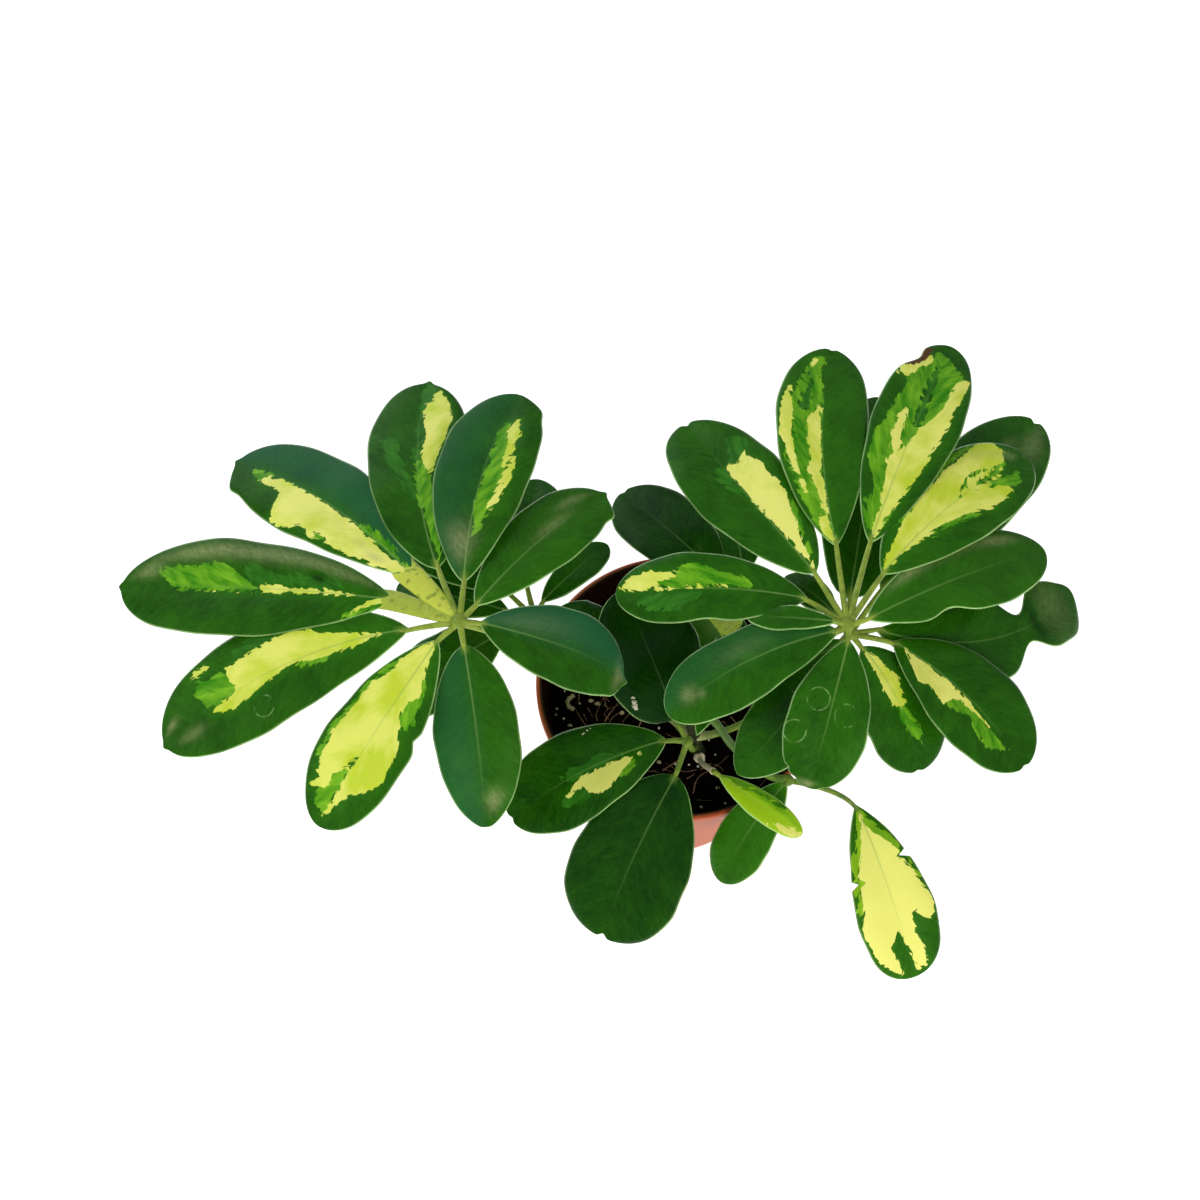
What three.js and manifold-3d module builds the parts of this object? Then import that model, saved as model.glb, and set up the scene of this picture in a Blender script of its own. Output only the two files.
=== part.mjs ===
// Potted umbrella plant: a young variegated Schefflera in a thin terracotta-coloured pot.
// Millimetres, +Z up. The origin is the middle of the pot's foot, on the surface it stands on.
import * as THREE from "three";
import { mergeVertices } from "three/addons/utils/BufferGeometryUtils.js";
import Module from "manifold-3d";

const wasm = await Module();
wasm.setup();

// Driving dimensions
const POT_HEIGHT = 100;
const POT_TOP_RADIUS = 60;
const POT_FOOT_RADIUS = 44.5;
const POT_WALL = 1.6;
const POT_FLOOR = 2.4;
const LIP_WIDTH = 2.6;
const LIP_HEIGHT = 4;
const DRAIN_RADIUS = 4.5;
const DRAIN_CIRCLE = 32;
const DRAIN_COUNT = 8;
const SOIL_LEVEL = 85;
const SOIL_BUMP = 1.1;
const GAP = 0.3;
const STEM_FOOT_RADIUS = 2.7;
const STEM_TOP_RADIUS = 2.0;
const STEM_HOLE_RADIUS = 3.5;
const STEM_HOLE_FLOOR = 46;
const BUD_LENGTH = 7;
const PETIOLE_FOOT_RADIUS = 1.9;
const PETIOLE_RADIUS = 1.35;
const HUB_RADIUS = 2.9;
const HUB_FLATNESS = 0.8;
const STALK_FOOT_RADIUS = 1.1;
const STALK_RADIUS = 0.67;
const STALK_START = 0.8;
const STALK_ROOT = 3;
const BLADE_THICKNESS = 0.8;
const NARROWEST_HALF_WIDTH = 0.6;

// How far a blade's halves rise from the midrib, and how far they round over again, as shares of half width
const FOLD_RISE = 0.16;
const FOLD_ROUNDING = 0.1;

// Where along its length a folded blade is drawn in, and over what share of its length
const PINCH_PLACE = 0.68;
const PINCH_SPREAD = 0.09;

// Steps of the faceted surfaces
const POT_SIDES = 40;
const BLADE_ROWS = 7;
const BLADE_COLUMNS = 4;
const STEM_SIDES = 8;
const STEM_STEPS = 12;
const PETIOLE_SIDES = 6;
const PETIOLE_STEPS = 9;
const STALK_SIDES = 4;
const STALK_STEPS = 3;

// The stem's middle line, from the bottom of its hole in the soil to the growing tip
const STEM_LINE = [
  [8.5, -27, STEM_HOLE_FLOOR + GAP],
  [8.5, -27.5, SOIL_LEVEL],
  [5, -29.5, 108],
  [2.5, -29, 130],
  [2, -27, 151],
];

// Every compound leaf: where its hub sits, how its petiole climbs there from the stem, and its leaflets.
// A leaflet's tip lies at a heading (degrees, 0 along +X, anticlockwise from above), a reach and a drop
// from the hub. Its stalk leaves the hub at heading + swing. bend and arch carry the middle of the midrib
// to the left and up, roll raises the blade's left half, and twist is the roll gained by the tip. widest
// is the place of the greatest width and blunt the roundness of the tip, less being blunter.
const LEAVES = [
  {
    name: "leaf_top_left",
    hub: [-82, -17, 190],
    petiole: { height: 115, via: [[-5, -24, 118], [-17, -17, 124], [-29, -14, 133], [-56, -15, 166]] },
    leaflets: [
      { heading: 169.6, reach: 130, drop: 18, stalk: 26, swing: -11.6, width: 38, bend: -0.5, arch: 3, roll: -6 },
      { heading: 198.6, reach: 111, drop: 28, stalk: 18, swing: -14.6, width: 39, bend: -6.5, arch: 4, roll: -6 },
      { heading: 231.7, reach: 80, drop: 32, stalk: 9.5, swing: -13.7, width: 33, bend: 1, arch: 4 },
      {
        heading: 278, reach: 63, drop: 38, stalk: 7.5, swing: 4,
        width: 30, bend: 1, arch: 4, widest: 0.5, blunt: 0.7,
      },
      { heading: 350, reach: 59, drop: 18, stalk: 7, swing: 10, width: 29, arch: 3, roll: 6 },
      { heading: 49.3, reach: 77, drop: 10, stalk: 8, swing: 0, width: 28, bend: 1.5, arch: 3 },
      { heading: 79.8, reach: 101, drop: 3, stalk: 15, swing: 7.2, width: 36, bend: 4, arch: 4 },
      { heading: 99.7, reach: 110, drop: 8, stalk: 23, swing: 13.3, width: 38, bend: 5.5, arch: 2, blunt: 0.44 },
      { heading: 140.5, reach: 117, drop: 12, stalk: 27, swing: -7, width: 37, bend: -4.5, arch: 3 },
    ],
  },
  {
    name: "leaf_low_left",
    hub: [-58, 4, 150],
    petiole: { height: 106, via: [[-7, -18, 109], [-22, -8, 114], [-40, -2, 128]] },
    leaflets: [
      { heading: 51, reach: 44, drop: 2, stalk: 7, swing: 20, width: 14.5, arch: 2 },
      { heading: 91, reach: 65, drop: 2, stalk: 15, swing: 14, width: 25, arch: 3 },
      { heading: 141, reach: 77, drop: 7, stalk: 16, swing: -8, width: 26, arch: 3 },
      { heading: 160, reach: 60, drop: 12, stalk: 11, swing: 0, width: 20, arch: 2 },
      { heading: 204, reach: 60, drop: 25, stalk: 12, swing: -8, width: 31, arch: 3 },
      { heading: 8, reach: 30, drop: 10, stalk: 5, swing: 0, width: 15, arch: 2 },
    ],
  },
  {
    name: "leaf_top_right",
    hub: [54, -16, 185],
    petiole: { height: 146, via: [[14, -27, 158], [34, -23, 174]] },
    leaflets: [
      { heading: 120, reach: 107, drop: 9, stalk: 23, swing: -6, width: 39, bend: 1.5, arch: 3, blunt: 0.46 },
      { heading: 87.3, reach: 125, drop: 3, stalk: 32, swing: 5, width: 36, bend: 5, arch: 3 },
      { heading: 67, reach: 137, drop: 3, stalk: 35, swing: 4.5, width: 34, bend: 1, arch: 4 },
      { heading: 44.4, reach: 107, drop: 5, stalk: 25, swing: 10.6, width: 36, bend: 3, arch: 3 },
      { heading: 25, reach: 87, drop: 11, stalk: 7.5, swing: -8, width: 30, bend: 1, arch: 3, roll: 4 },
      { heading: 168.4, reach: 83, drop: 9, stalk: 17, swing: -28, width: 28.5, bend: -2, arch: 3, roll: -5 },
      { heading: 172, reach: 35, drop: 5, stalk: 4, swing: 8, width: 10, arch: 1 },
      { heading: 203, reach: 68, drop: 19, stalk: 4, swing: 10, width: 28, bend: -4, arch: 3, roll: -5 },
      { heading: 255.3, reach: 53, drop: 25, stalk: 5, swing: 16, width: 29, arch: 3 },
    ],
  },
  {
    name: "leaf_low_right",
    hub: [59, -10, 166],
    petiole: { height: 113, via: [[10, -30, 115], [22, -28, 121], [39, -22, 141]] },
    leaflets: [
      { heading: 300, reach: 51, drop: 26, stalk: 6, swing: 12, width: 32, bend: 3, arch: 3 },
      { heading: 322.6, reach: 77, drop: 14, stalk: 16, swing: 28.4, width: 35.5, bend: 3, arch: 3 },
      {
        heading: 17, reach: 97, drop: 20, stalk: 10, swing: -6,
        width: 33, bend: -13, roll: 10, twist: 15, pinch: 0.55,
      },
      { heading: 49, reach: 132, drop: 6, stalk: 22, swing: 5, width: 38, bend: -0.5, arch: 3 },
      { heading: 78, reach: 117, drop: 10, stalk: 14, swing: 8, width: 33, arch: 3 },
      { heading: 126, reach: 35, drop: 8, stalk: 9, swing: -8, width: 14, arch: 2 },
      { heading: 213, reach: 32, drop: 10, stalk: 4, swing: 8, width: 14, arch: 2 },
      { heading: 236, reach: 62, drop: 26, stalk: 8, swing: 0, width: 29, arch: 3 },
    ],
  },
  {
    name: "leaf_back",
    hub: [26, 18, 137],
    petiole: { height: 125, via: [[8, -14, 129], [17, 2, 135]] },
    leaflets: [
      { heading: 131, reach: 75, drop: 7, stalk: 12, swing: 0, width: 34, bend: 1, arch: 3 },
      { heading: 248, reach: 59, drop: 5, stalk: 8, swing: 0, width: 15, arch: 1, widest: 0.42, blunt: 0.8 },
      { heading: 95, reach: 46, drop: 5, stalk: 12, swing: 0, width: 20, arch: 2 },
      { heading: 195, reach: 24, drop: 4, stalk: 6, swing: 0, width: 14, arch: 1 },
    ],
  },
  {
    name: "leaf_front_low",
    hub: [0.5, -37.5, 128],
    petiole: { height: 103, via: [[3.5, -35.5, 114]] },
    leaflets: [
      { heading: 201, reach: 73, drop: 16, stalk: 8, swing: -25, width: 36, bend: -3, arch: 3, roll: -4 },
      { heading: 244, reach: 75, drop: 33, stalk: 13, swing: 6, width: 46, bend: -1, arch: 6, blunt: 0.42 },
      { heading: 117, reach: 56, drop: -30, stalk: 8, swing: 8, width: 40, arch: 3, widest: 0.48 },
    ],
  },
  {
    name: "leaf_front_right",
    hub: [41, -47, 110],
    petiole: { height: 140, via: [[10, -33, 138], [18, -39, 127], [33, -46, 113]] },
    leaflets: [
      { heading: 233, reach: 42, drop: 27, stalk: 1, swing: 0, width: 22, bend: -1.5, arch: 4 },
      {
        heading: 306.3, reach: 85, drop: 38, stalk: 29, swing: 40.7, stalkRise: 12,
        width: 33, bend: 0.5, arch: 4, widest: 0.66, blunt: 0.42,
      },
    ],
  },
  {
    name: "leaf_young",
    hub: [11.5, -44, 112],
    hubRadius: 1.3,
    petiole: { height: 93, via: [[7.8, -35, 99]] },
    sheath: { at: [7.6, -32.8, 96.5], radius: 2.5 },
    leaflets: [{ heading: 321, reach: 42, drop: -2, stalk: 3, swing: -8, width: 12, bend: -0.5, arch: 2 }],
  },
];

function vector(list) {
  return new THREE.Vector3(...list);
}

// A unit vector that lies flat at a heading in degrees
function flatDirection(heading) {
  const angle = THREE.MathUtils.degToRad(heading);
  return new THREE.Vector3(Math.cos(angle), Math.sin(angle), 0);
}

// Closed triangle mesh to solid. Triangles that closed up when their corners were merged are dropped.
function solidOf(geometry) {
  const bare = geometry.index ? geometry.clone() : geometry;
  bare.deleteAttribute("normal");
  bare.deleteAttribute("uv");
  const merged = mergeVertices(bare, 1e-4);
  const kept = [];
  const index = merged.index.array;
  for (let i = 0; i < index.length; i += 3) {
    const [a, b, c] = [index[i], index[i + 1], index[i + 2]];
    if (a !== b && b !== c && c !== a) kept.push(a, b, c);
  }
  const mesh = new wasm.Mesh({
    numProp: 3,
    vertProperties: new Float32Array(merged.attributes.position.array),
    triVerts: new Uint32Array(kept),
  });
  return new wasm.Manifold(mesh);
}

function geometryOf(solid) {
  const mesh = solid.getMesh();
  const geometry = new THREE.BufferGeometry();
  geometry.setAttribute("position", new THREE.BufferAttribute(mesh.vertProperties, 3));
  geometry.setIndex(new THREE.BufferAttribute(mesh.triVerts, 1));
  geometry.computeVertexNormals();
  return geometry;
}

function namedMesh(name, geometry, color, roughness) {
  const mesh = new THREE.Mesh(geometry, new THREE.MeshStandardMaterial({ color, roughness, metalness: 0 }));
  mesh.name = name;
  return mesh;
}

// A closed round bar along a curve: a cylinder whose rings are carried to the curve.
function bar(curve, startRadius, endRadius, sides, steps) {
  const geometry = new THREE.CylinderGeometry(1, 1, 1, sides, steps);
  const frames = curve.computeFrenetFrames(steps, false);
  const position = geometry.attributes.position;
  const point = new THREE.Vector3();
  for (let i = 0; i < position.count; i += 1) {
    const step = Math.round((position.getY(i) + 0.5) * steps);
    const share = step / steps;
    const radius = THREE.MathUtils.lerp(startRadius, endRadius, share);
    curve.getPointAt(share, point);
    point.addScaledVector(frames.binormals[step], position.getX(i) * radius);
    point.addScaledVector(frames.normals[step], position.getZ(i) * radius);
    position.setXYZ(i, point.x, point.y, point.z);
  }
  return solidOf(geometry);
}

// Half width of a leaflet as a share of its greatest: wedge-shaped base, widest past the middle, round tip.
// A pinch draws both margins in towards the tip, where the blade has folded on itself.
function outline(along, widest, blunt, pinch) {
  const taper = (blunt * widest) / (1 - widest);
  const plain = Math.pow(along / widest, taper) * Math.pow((1 - along) / (1 - widest), blunt);
  return plain * (1 - pinch * Math.exp(-Math.pow((along - PINCH_PLACE) / PINCH_SPREAD, 2)));
}

// Where a leaflet's stalk ends and its blade starts, and where its tip is.
function leafletEnds(hub, leaflet) {
  const base = hub.clone();
  base.addScaledVector(flatDirection(leaflet.heading + leaflet.swing), leaflet.stalk);
  base.z += HUB_RADIUS * 0.5 - (leaflet.drop * leaflet.stalk) / leaflet.reach;
  const tip = hub.clone().addScaledVector(flatDirection(leaflet.heading), leaflet.reach);
  tip.z -= leaflet.drop;
  return { base, tip };
}

// The blade is a sheet of rows and columns with a second one under it, split into triangles alike.
function blade(base, tip, leaflet) {
  const { width, bend = 0, arch = 0, roll = 0, twist = 0 } = leaflet;
  const { widest = 0.6, blunt = 0.5, pinch = 0 } = leaflet;
  const up = new THREE.Vector3(0, 0, 1);
  const chord = tip.clone().sub(base);
  const left = up.clone().cross(chord).normalize();
  const rise = chord.clone().cross(left).normalize();
  const top = [];
  const bottom = [];
  for (let row = 0; row <= BLADE_ROWS; row += 1) {
    const along = Math.sin((Math.PI * row) / (2 * BLADE_ROWS));
    const swell = 4 * along * (1 - along);
    const slope = 4 * (1 - 2 * along);
    const tangent = chord.clone().addScaledVector(rise, arch * slope).addScaledVector(left, bend * slope);
    tangent.normalize();
    const turn = THREE.MathUtils.degToRad(roll + twist * along * along);
    const across = left.clone().applyAxisAngle(tangent, turn);
    const normal = tangent.clone().cross(across).normalize();
    across.crossVectors(normal, tangent);
    const middle = base.clone().addScaledVector(chord, along);
    middle.addScaledVector(rise, arch * swell).addScaledVector(left, bend * swell);
    const halfWidth = Math.max((width / 2) * outline(along, widest, blunt, pinch), NARROWEST_HALF_WIDTH);
    for (let column = 0; column <= BLADE_COLUMNS; column += 1) {
      const side = (2 * column) / BLADE_COLUMNS - 1;
      const lift = halfWidth * (FOLD_RISE * Math.abs(side) - FOLD_ROUNDING * side * side);
      const point = middle.clone().addScaledVector(across, side * halfWidth).addScaledVector(normal, lift);
      top.push(...point.clone().addScaledVector(normal, BLADE_THICKNESS / 2).toArray());
      bottom.push(...point.addScaledVector(normal, -BLADE_THICKNESS / 2).toArray());
    }
  }
  return sheetSolid(top, bottom, BLADE_ROWS, BLADE_COLUMNS);
}

function sheetSolid(top, bottom, rows, columns) {
  const stride = columns + 1;
  const below = stride * (rows + 1);
  const faces = [];
  const quad = (a, b, c, d) => faces.push(a, b, c, a, c, d);
  for (let row = 0; row < rows; row += 1) {
    for (let column = 0; column < columns; column += 1) {
      const a = row * stride + column;
      quad(a, a + stride, a + stride + 1, a + 1);
      faces.push(below + a, below + a + stride + 1, below + a + stride);
      faces.push(below + a, below + a + 1, below + a + stride + 1);
    }
    const first = row * stride;
    const last = first + columns;
    quad(first, below + first, below + first + stride, first + stride);
    quad(last, last + stride, below + last + stride, below + last);
  }
  for (let column = 0; column < columns; column += 1) {
    const end = rows * stride + column;
    quad(column, column + 1, below + column + 1, below + column);
    quad(end, below + end, below + end + 1, end + 1);
  }
  const geometry = new THREE.BufferGeometry();
  geometry.setAttribute("position", new THREE.Float32BufferAttribute([...top, ...bottom], 3));
  geometry.setIndex(faces);
  return solidOf(geometry);
}

// A stalk leaves the hub sideways and is rooted a little way inside the blade's base.
function stalk(hub, base, tip, rise) {
  const inside = tip.clone().sub(base).setLength(STALK_ROOT).add(base);
  const start = base.clone().sub(hub).setLength(STALK_START).add(hub);
  const crown = base.clone().lerp(hub, 0.25);
  crown.z += rise;
  const curve = new THREE.CubicBezierCurve3(start, crown, base, inside);
  return bar(curve, STALK_FOOT_RADIUS, STALK_RADIUS, STALK_SIDES, STALK_STEPS);
}

const stemCurve = new THREE.CatmullRomCurve3(STEM_LINE.map(vector));

// The stem's middle at a height, found by halving the curve.
function stemAt(height) {
  let low = 0;
  let high = 1;
  for (let i = 0; i < 24; i += 1) {
    const half = (low + high) / 2;
    if (stemCurve.getPoint(half).z < height) low = half;
    else high = half;
  }
  return stemCurve.getPoint(low);
}

function stemBar(extra) {
  return bar(stemCurve, STEM_FOOT_RADIUS + extra, STEM_TOP_RADIUS + extra, STEM_SIDES, STEM_STEPS);
}

// A small flattened knot, where stalks meet or a leaf's sheath clasps the stem
function knot(place, radius) {
  const shape = new THREE.IcosahedronGeometry(radius, 1);
  shape.scale(1, 1, HUB_FLATNESS);
  shape.translate(...place);
  return solidOf(shape);
}

// One compound leaf: petiole, hub and leaflets in one piece, cut clear of the stem that it grows on.
function compoundLeaf(leaf, stemClearance) {
  const hub = vector(leaf.hub);
  const line = [stemAt(leaf.petiole.height), ...leaf.petiole.via.map(vector), hub];
  const petioleCurve = new THREE.CatmullRomCurve3(line, false, "centripetal");
  const pieces = [bar(petioleCurve, PETIOLE_FOOT_RADIUS, PETIOLE_RADIUS, PETIOLE_SIDES, PETIOLE_STEPS)];
  pieces.push(knot(leaf.hub, leaf.hubRadius ?? HUB_RADIUS));
  if (leaf.sheath) pieces.push(knot(leaf.sheath.at, leaf.sheath.radius));
  for (const leaflet of leaf.leaflets) {
    const { base, tip } = leafletEnds(hub, leaflet);
    pieces.push(stalk(hub, base, tip, leaflet.stalkRise ?? 0));
    pieces.push(blade(base, tip, leaflet));
  }
  return wasm.Manifold.union(pieces).subtract(stemClearance);
}

// Radius of the pot's outer wall at a height
function potRadius(height) {
  const wallTop = POT_TOP_RADIUS - LIP_WIDTH + POT_WALL;
  return THREE.MathUtils.lerp(POT_FOOT_RADIUS, wallTop, height / POT_HEIGHT);
}

function potSolid() {
  const lipFoot = POT_HEIGHT - LIP_HEIGHT;
  const inner = (height) => potRadius(height) - POT_WALL;
  const profile = [
    [0, 0],
    [POT_FOOT_RADIUS - 1, 0],
    [potRadius(1), 1],
    [potRadius(lipFoot - 1), lipFoot - 1],
    [POT_TOP_RADIUS, lipFoot],
    [POT_TOP_RADIUS, POT_HEIGHT - 0.8],
    [POT_TOP_RADIUS - 0.8, POT_HEIGHT],
    [inner(POT_HEIGHT) + 0.6, POT_HEIGHT],
    [inner(POT_HEIGHT), POT_HEIGHT - 0.6],
    [inner(POT_FLOOR), POT_FLOOR],
    [0, POT_FLOOR],
  ];
  let pot = solidOf(new THREE.LatheGeometry(profile.map((p) => new THREE.Vector2(...p)), POT_SIDES)
    .rotateX(Math.PI / 2));
  for (let i = 0; i < DRAIN_COUNT; i += 1) {
    const drain = new THREE.CylinderGeometry(DRAIN_RADIUS, DRAIN_RADIUS, POT_FLOOR * 4, 12);
    drain.rotateX(Math.PI / 2);
    const spot = flatDirection((360 * i) / DRAIN_COUNT).multiplyScalar(DRAIN_CIRCLE);
    drain.translate(spot.x, spot.y, 0);
    pot = pot.subtract(solidOf(drain));
  }
  return pot;
}

// The root ball fills the pot to its soil level, crumbly on top, with a plain hole for the stem.
function soilSolid() {
  const radius = (height) => potRadius(height) - POT_WALL - GAP;
  const floor = POT_FLOOR + GAP;
  const profile = [[0, floor], [radius(floor), floor], [radius(SOIL_LEVEL - 3), SOIL_LEVEL - 3]];
  for (const share of [0.78, 0.52, 0.26]) profile.push([radius(SOIL_LEVEL) * share, SOIL_LEVEL]);
  profile.push([0, SOIL_LEVEL]);
  const geometry = new THREE.LatheGeometry(profile.map((p) => new THREE.Vector2(...p)), POT_SIDES);
  geometry.rotateX(Math.PI / 2);
  const position = geometry.attributes.position;
  for (let i = 0; i < position.count; i += 1) {
    const [x, y, z] = [position.getX(i), position.getY(i), position.getZ(i)];
    if (z < SOIL_LEVEL - 0.5) continue;
    const bump = Math.sin(x * 0.31 + 1) * Math.cos(y * 0.27) + 0.5 * Math.sin(x * 0.11 - y * 0.16);
    position.setZ(i, z + SOIL_BUMP * bump);
  }
  const [x, y] = STEM_LINE[0];
  const depth = SOIL_LEVEL + 10 - STEM_HOLE_FLOOR;
  const hole = new THREE.CylinderGeometry(STEM_HOLE_RADIUS, STEM_HOLE_RADIUS, depth, 14);
  hole.rotateX(Math.PI / 2);
  hole.translate(x, y - 0.25, STEM_HOLE_FLOOR + depth / 2);
  return solidOf(geometry).subtract(solidOf(hole));
}

// The stem ends in a small pointed growing tip.
function stemSolid() {
  const top = stemCurve.getPoint(1);
  const bud = new THREE.ConeGeometry(STEM_TOP_RADIUS * 0.9, BUD_LENGTH, STEM_SIDES);
  bud.rotateX(Math.PI / 2);
  bud.translate(top.x, top.y, top.z + BUD_LENGTH / 2 - 1);
  return stemBar(0).add(solidOf(bud));
}

const plant = new THREE.Group();
plant.name = "potted_umbrella_plant";
plant.add(namedMesh("pot", geometryOf(potSolid()), 0xc8705a, 0.55));
plant.add(namedMesh("soil", geometryOf(soilSolid()), 0x1c120c, 0.95));
plant.add(namedMesh("stem", geometryOf(stemSolid()), 0x4a4a22, 0.7));
const stemClearance = stemBar(GAP);
for (const leaf of LEAVES) {
  plant.add(namedMesh(leaf.name, geometryOf(compoundLeaf(leaf, stemClearance)), 0x2a6a24, 0.4));
}

export default plant;
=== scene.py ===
"""Dresses the potted umbrella plant: pot, root ball, stem and eight compound leaves of a young Schefflera.

Every surface is a function of two parameters on a grid, or a profile carried along a path. Shapes are worked
out in millimetres with numpy and put into meshes in metres.
"""
import logging
import math
from dataclasses import dataclass, field
from enum import Enum

import bpy
import numpy as np
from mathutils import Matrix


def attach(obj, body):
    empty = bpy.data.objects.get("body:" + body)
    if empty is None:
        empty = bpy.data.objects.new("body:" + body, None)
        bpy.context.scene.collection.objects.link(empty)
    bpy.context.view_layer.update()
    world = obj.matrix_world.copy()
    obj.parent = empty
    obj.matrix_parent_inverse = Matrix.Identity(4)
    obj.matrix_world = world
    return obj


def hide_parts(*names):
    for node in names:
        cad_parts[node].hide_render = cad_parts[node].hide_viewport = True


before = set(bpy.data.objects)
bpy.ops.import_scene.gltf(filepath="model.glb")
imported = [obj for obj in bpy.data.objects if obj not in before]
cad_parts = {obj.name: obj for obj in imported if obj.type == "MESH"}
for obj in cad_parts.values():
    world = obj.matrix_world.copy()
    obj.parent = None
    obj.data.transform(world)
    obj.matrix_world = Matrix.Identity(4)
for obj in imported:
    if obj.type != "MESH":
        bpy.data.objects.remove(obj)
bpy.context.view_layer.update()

LOG = logging.getLogger("umbrella_plant")
MM = 0.001
TURN = 2 * np.pi
UP = np.array([0.0, 0.0, 1.0])
ACROSS = np.array([1.0, 0.0, 0.0])

Point = tuple[float, float, float]
Socket = bpy.types.NodeSocket
Material = bpy.types.Material


# ---------------------------------------------------------------- small mathematics


def unit(vectors: np.ndarray) -> np.ndarray:
    """Vectors scaled to length one along the last axis."""
    return vectors / np.linalg.norm(vectors, axis=-1, keepdims=True)


def flat_direction(heading: float) -> np.ndarray:
    """Unit vector lying flat at a heading in degrees, 0 along +X, anticlockwise from above."""
    return np.array([math.cos(math.radians(heading)), math.sin(math.radians(heading)), 0.0])


def smoothstep(low: float, high: float, values: np.ndarray) -> np.ndarray:
    """0 below low, 1 above high, and an S-shaped cubic between them."""
    share = np.clip((values - low) / (high - low), 0.0, 1.0)
    return share * share * (3 - 2 * share)


def bell(values: np.ndarray, middle: float | np.ndarray, reach: float) -> np.ndarray:
    """A bell curve: 1 at its middle, about a third at its reach to either side."""
    return np.exp(-(((values - middle) / reach) ** 2))


def lattice_noise(x: np.ndarray, y: np.ndarray, cell: float, seed: int) -> np.ndarray:
    """Smooth random heights: random values on a square lattice, blended with S-shaped weights.

    Args:
        x, y: places in millimetres.
        cell: lattice spacing in millimetres.
        seed: picks the random values.

    Returns:
        Heights from -0.5 to 0.5.
    """
    table = np.random.default_rng(seed).random((128, 128)) - 0.5
    gx, gy = x / cell + 500, y / cell + 500
    ix, iy = np.floor(gx).astype(int), np.floor(gy).astype(int)
    fx, fy = smoothstep(0, 1, gx - ix), smoothstep(0, 1, gy - iy)
    near = table[ix % 128, iy % 128] * (1 - fx) + table[(ix + 1) % 128, iy % 128] * fx
    far = table[ix % 128, (iy + 1) % 128] * (1 - fx) + table[(ix + 1) % 128, (iy + 1) % 128] * fx
    return near * (1 - fy) + far * fy


def smooth_line(knots: np.ndarray, steps: int) -> np.ndarray:
    """Centripetal Catmull-Rom line through knots, resampled at even distances.

    Each span is the cubic whose end slopes come from its neighbours, weighted by the square root of the
    spacing, so that the line runs through every knot without overshooting.

    Args:
        knots: at least two points, one to a row.
        steps: number of stretches in the result.

    Returns:
        steps + 1 points.
    """
    chain = np.vstack([2 * knots[0] - knots[1], knots, 2 * knots[-1] - knots[-2]])
    spacing = np.sqrt(np.linalg.norm(np.diff(chain, axis=0), axis=1))[:, None]
    before, start, end, after = chain[:-3], chain[1:-2], chain[2:-1], chain[3:]
    d0, d1, d2 = spacing[:-2], spacing[1:-1], spacing[2:]
    slope_a = ((start - before) / d0 - (end - before) / (d0 + d1) + (end - start) / d1) * d1
    slope_b = ((end - start) / d1 - (after - start) / (d1 + d2) + (after - end) / d2) * d1
    t = np.linspace(0, 1, 33)[:-1][None, :, None]
    line = (
        start[:, None] * (2 * t**3 - 3 * t**2 + 1)
        + slope_a[:, None] * (t**3 - 2 * t**2 + t)
        + end[:, None] * (3 * t**2 - 2 * t**3)
        + slope_b[:, None] * (t**3 - t**2)
    )
    line = np.vstack([line.reshape(-1, 3), knots[-1]])
    length = np.concatenate([[0], np.cumsum(np.linalg.norm(np.diff(line, axis=0), axis=1))])
    even = np.linspace(0, length[-1], steps + 1)
    return np.stack([np.interp(even, length, line[:, axis]) for axis in range(3)], axis=1)


def tube(path: np.ndarray, radii: np.ndarray, sides: int, flatness: float | np.ndarray = 1.0) -> np.ndarray:
    """Rings of a tube: a circle carried along a path, square to it.

    Args:
        path: middle line, one point to a row.
        radii: radius at each point.
        sides: points round each ring.
        flatness: how much wider than tall the section is.

    Returns:
        Array of rings, points round each ring, and coordinates.
    """
    tangent = unit(np.gradient(path, axis=0))
    chord = path[-1] - path[0]
    side = np.cross(UP, chord)
    side = ACROSS if np.linalg.norm(side) < 0.35 * np.linalg.norm(chord) else side
    side = unit(side - tangent * (tangent @ side)[:, None])
    top = np.cross(tangent, side)
    angle = np.linspace(0, TURN, sides, endpoint=False)[None, :, None]
    wide = np.broadcast_to(np.asarray(flatness, float), (len(path),))[:, None, None]
    ring = np.cos(angle) * side[:, None] * wide + np.sin(angle) * top[:, None]
    return path[:, None] + np.asarray(radii)[:, None, None] * ring


def lathe(profile: np.ndarray, sides: int) -> np.ndarray:
    """Rings of a turned body: each profile point (radius, height) swept round the upright axis.

    Args:
        profile: points, one to a row, that run up the outside.
        sides: points round each ring.

    Returns:
        Array of rings, points round each ring, and coordinates.
    """
    angle = np.linspace(0, TURN, sides, endpoint=False)
    x, y = profile[:, :1] * np.cos(angle), profile[:, :1] * np.sin(angle)
    return np.stack([x, y, np.broadcast_to(profile[:, 1:], x.shape)], axis=-1)


def ball(rows: int, sides: int, cut: float) -> np.ndarray:
    """Rings of a ball of radius 1: a half circle turned round, with its poles cut off.

    Args:
        rows: rings from bottom to top.
        sides: points round each ring.
        cut: angle from a pole to its nearest ring, in radians.

    Returns:
        Array of rings, points round each ring, and coordinates.
    """
    angle = np.linspace(cut, np.pi - cut, rows)
    return lathe(np.stack([np.sin(angle), -np.cos(angle)], axis=1), sides)


# ---------------------------------------------------------------- meshes


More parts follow.
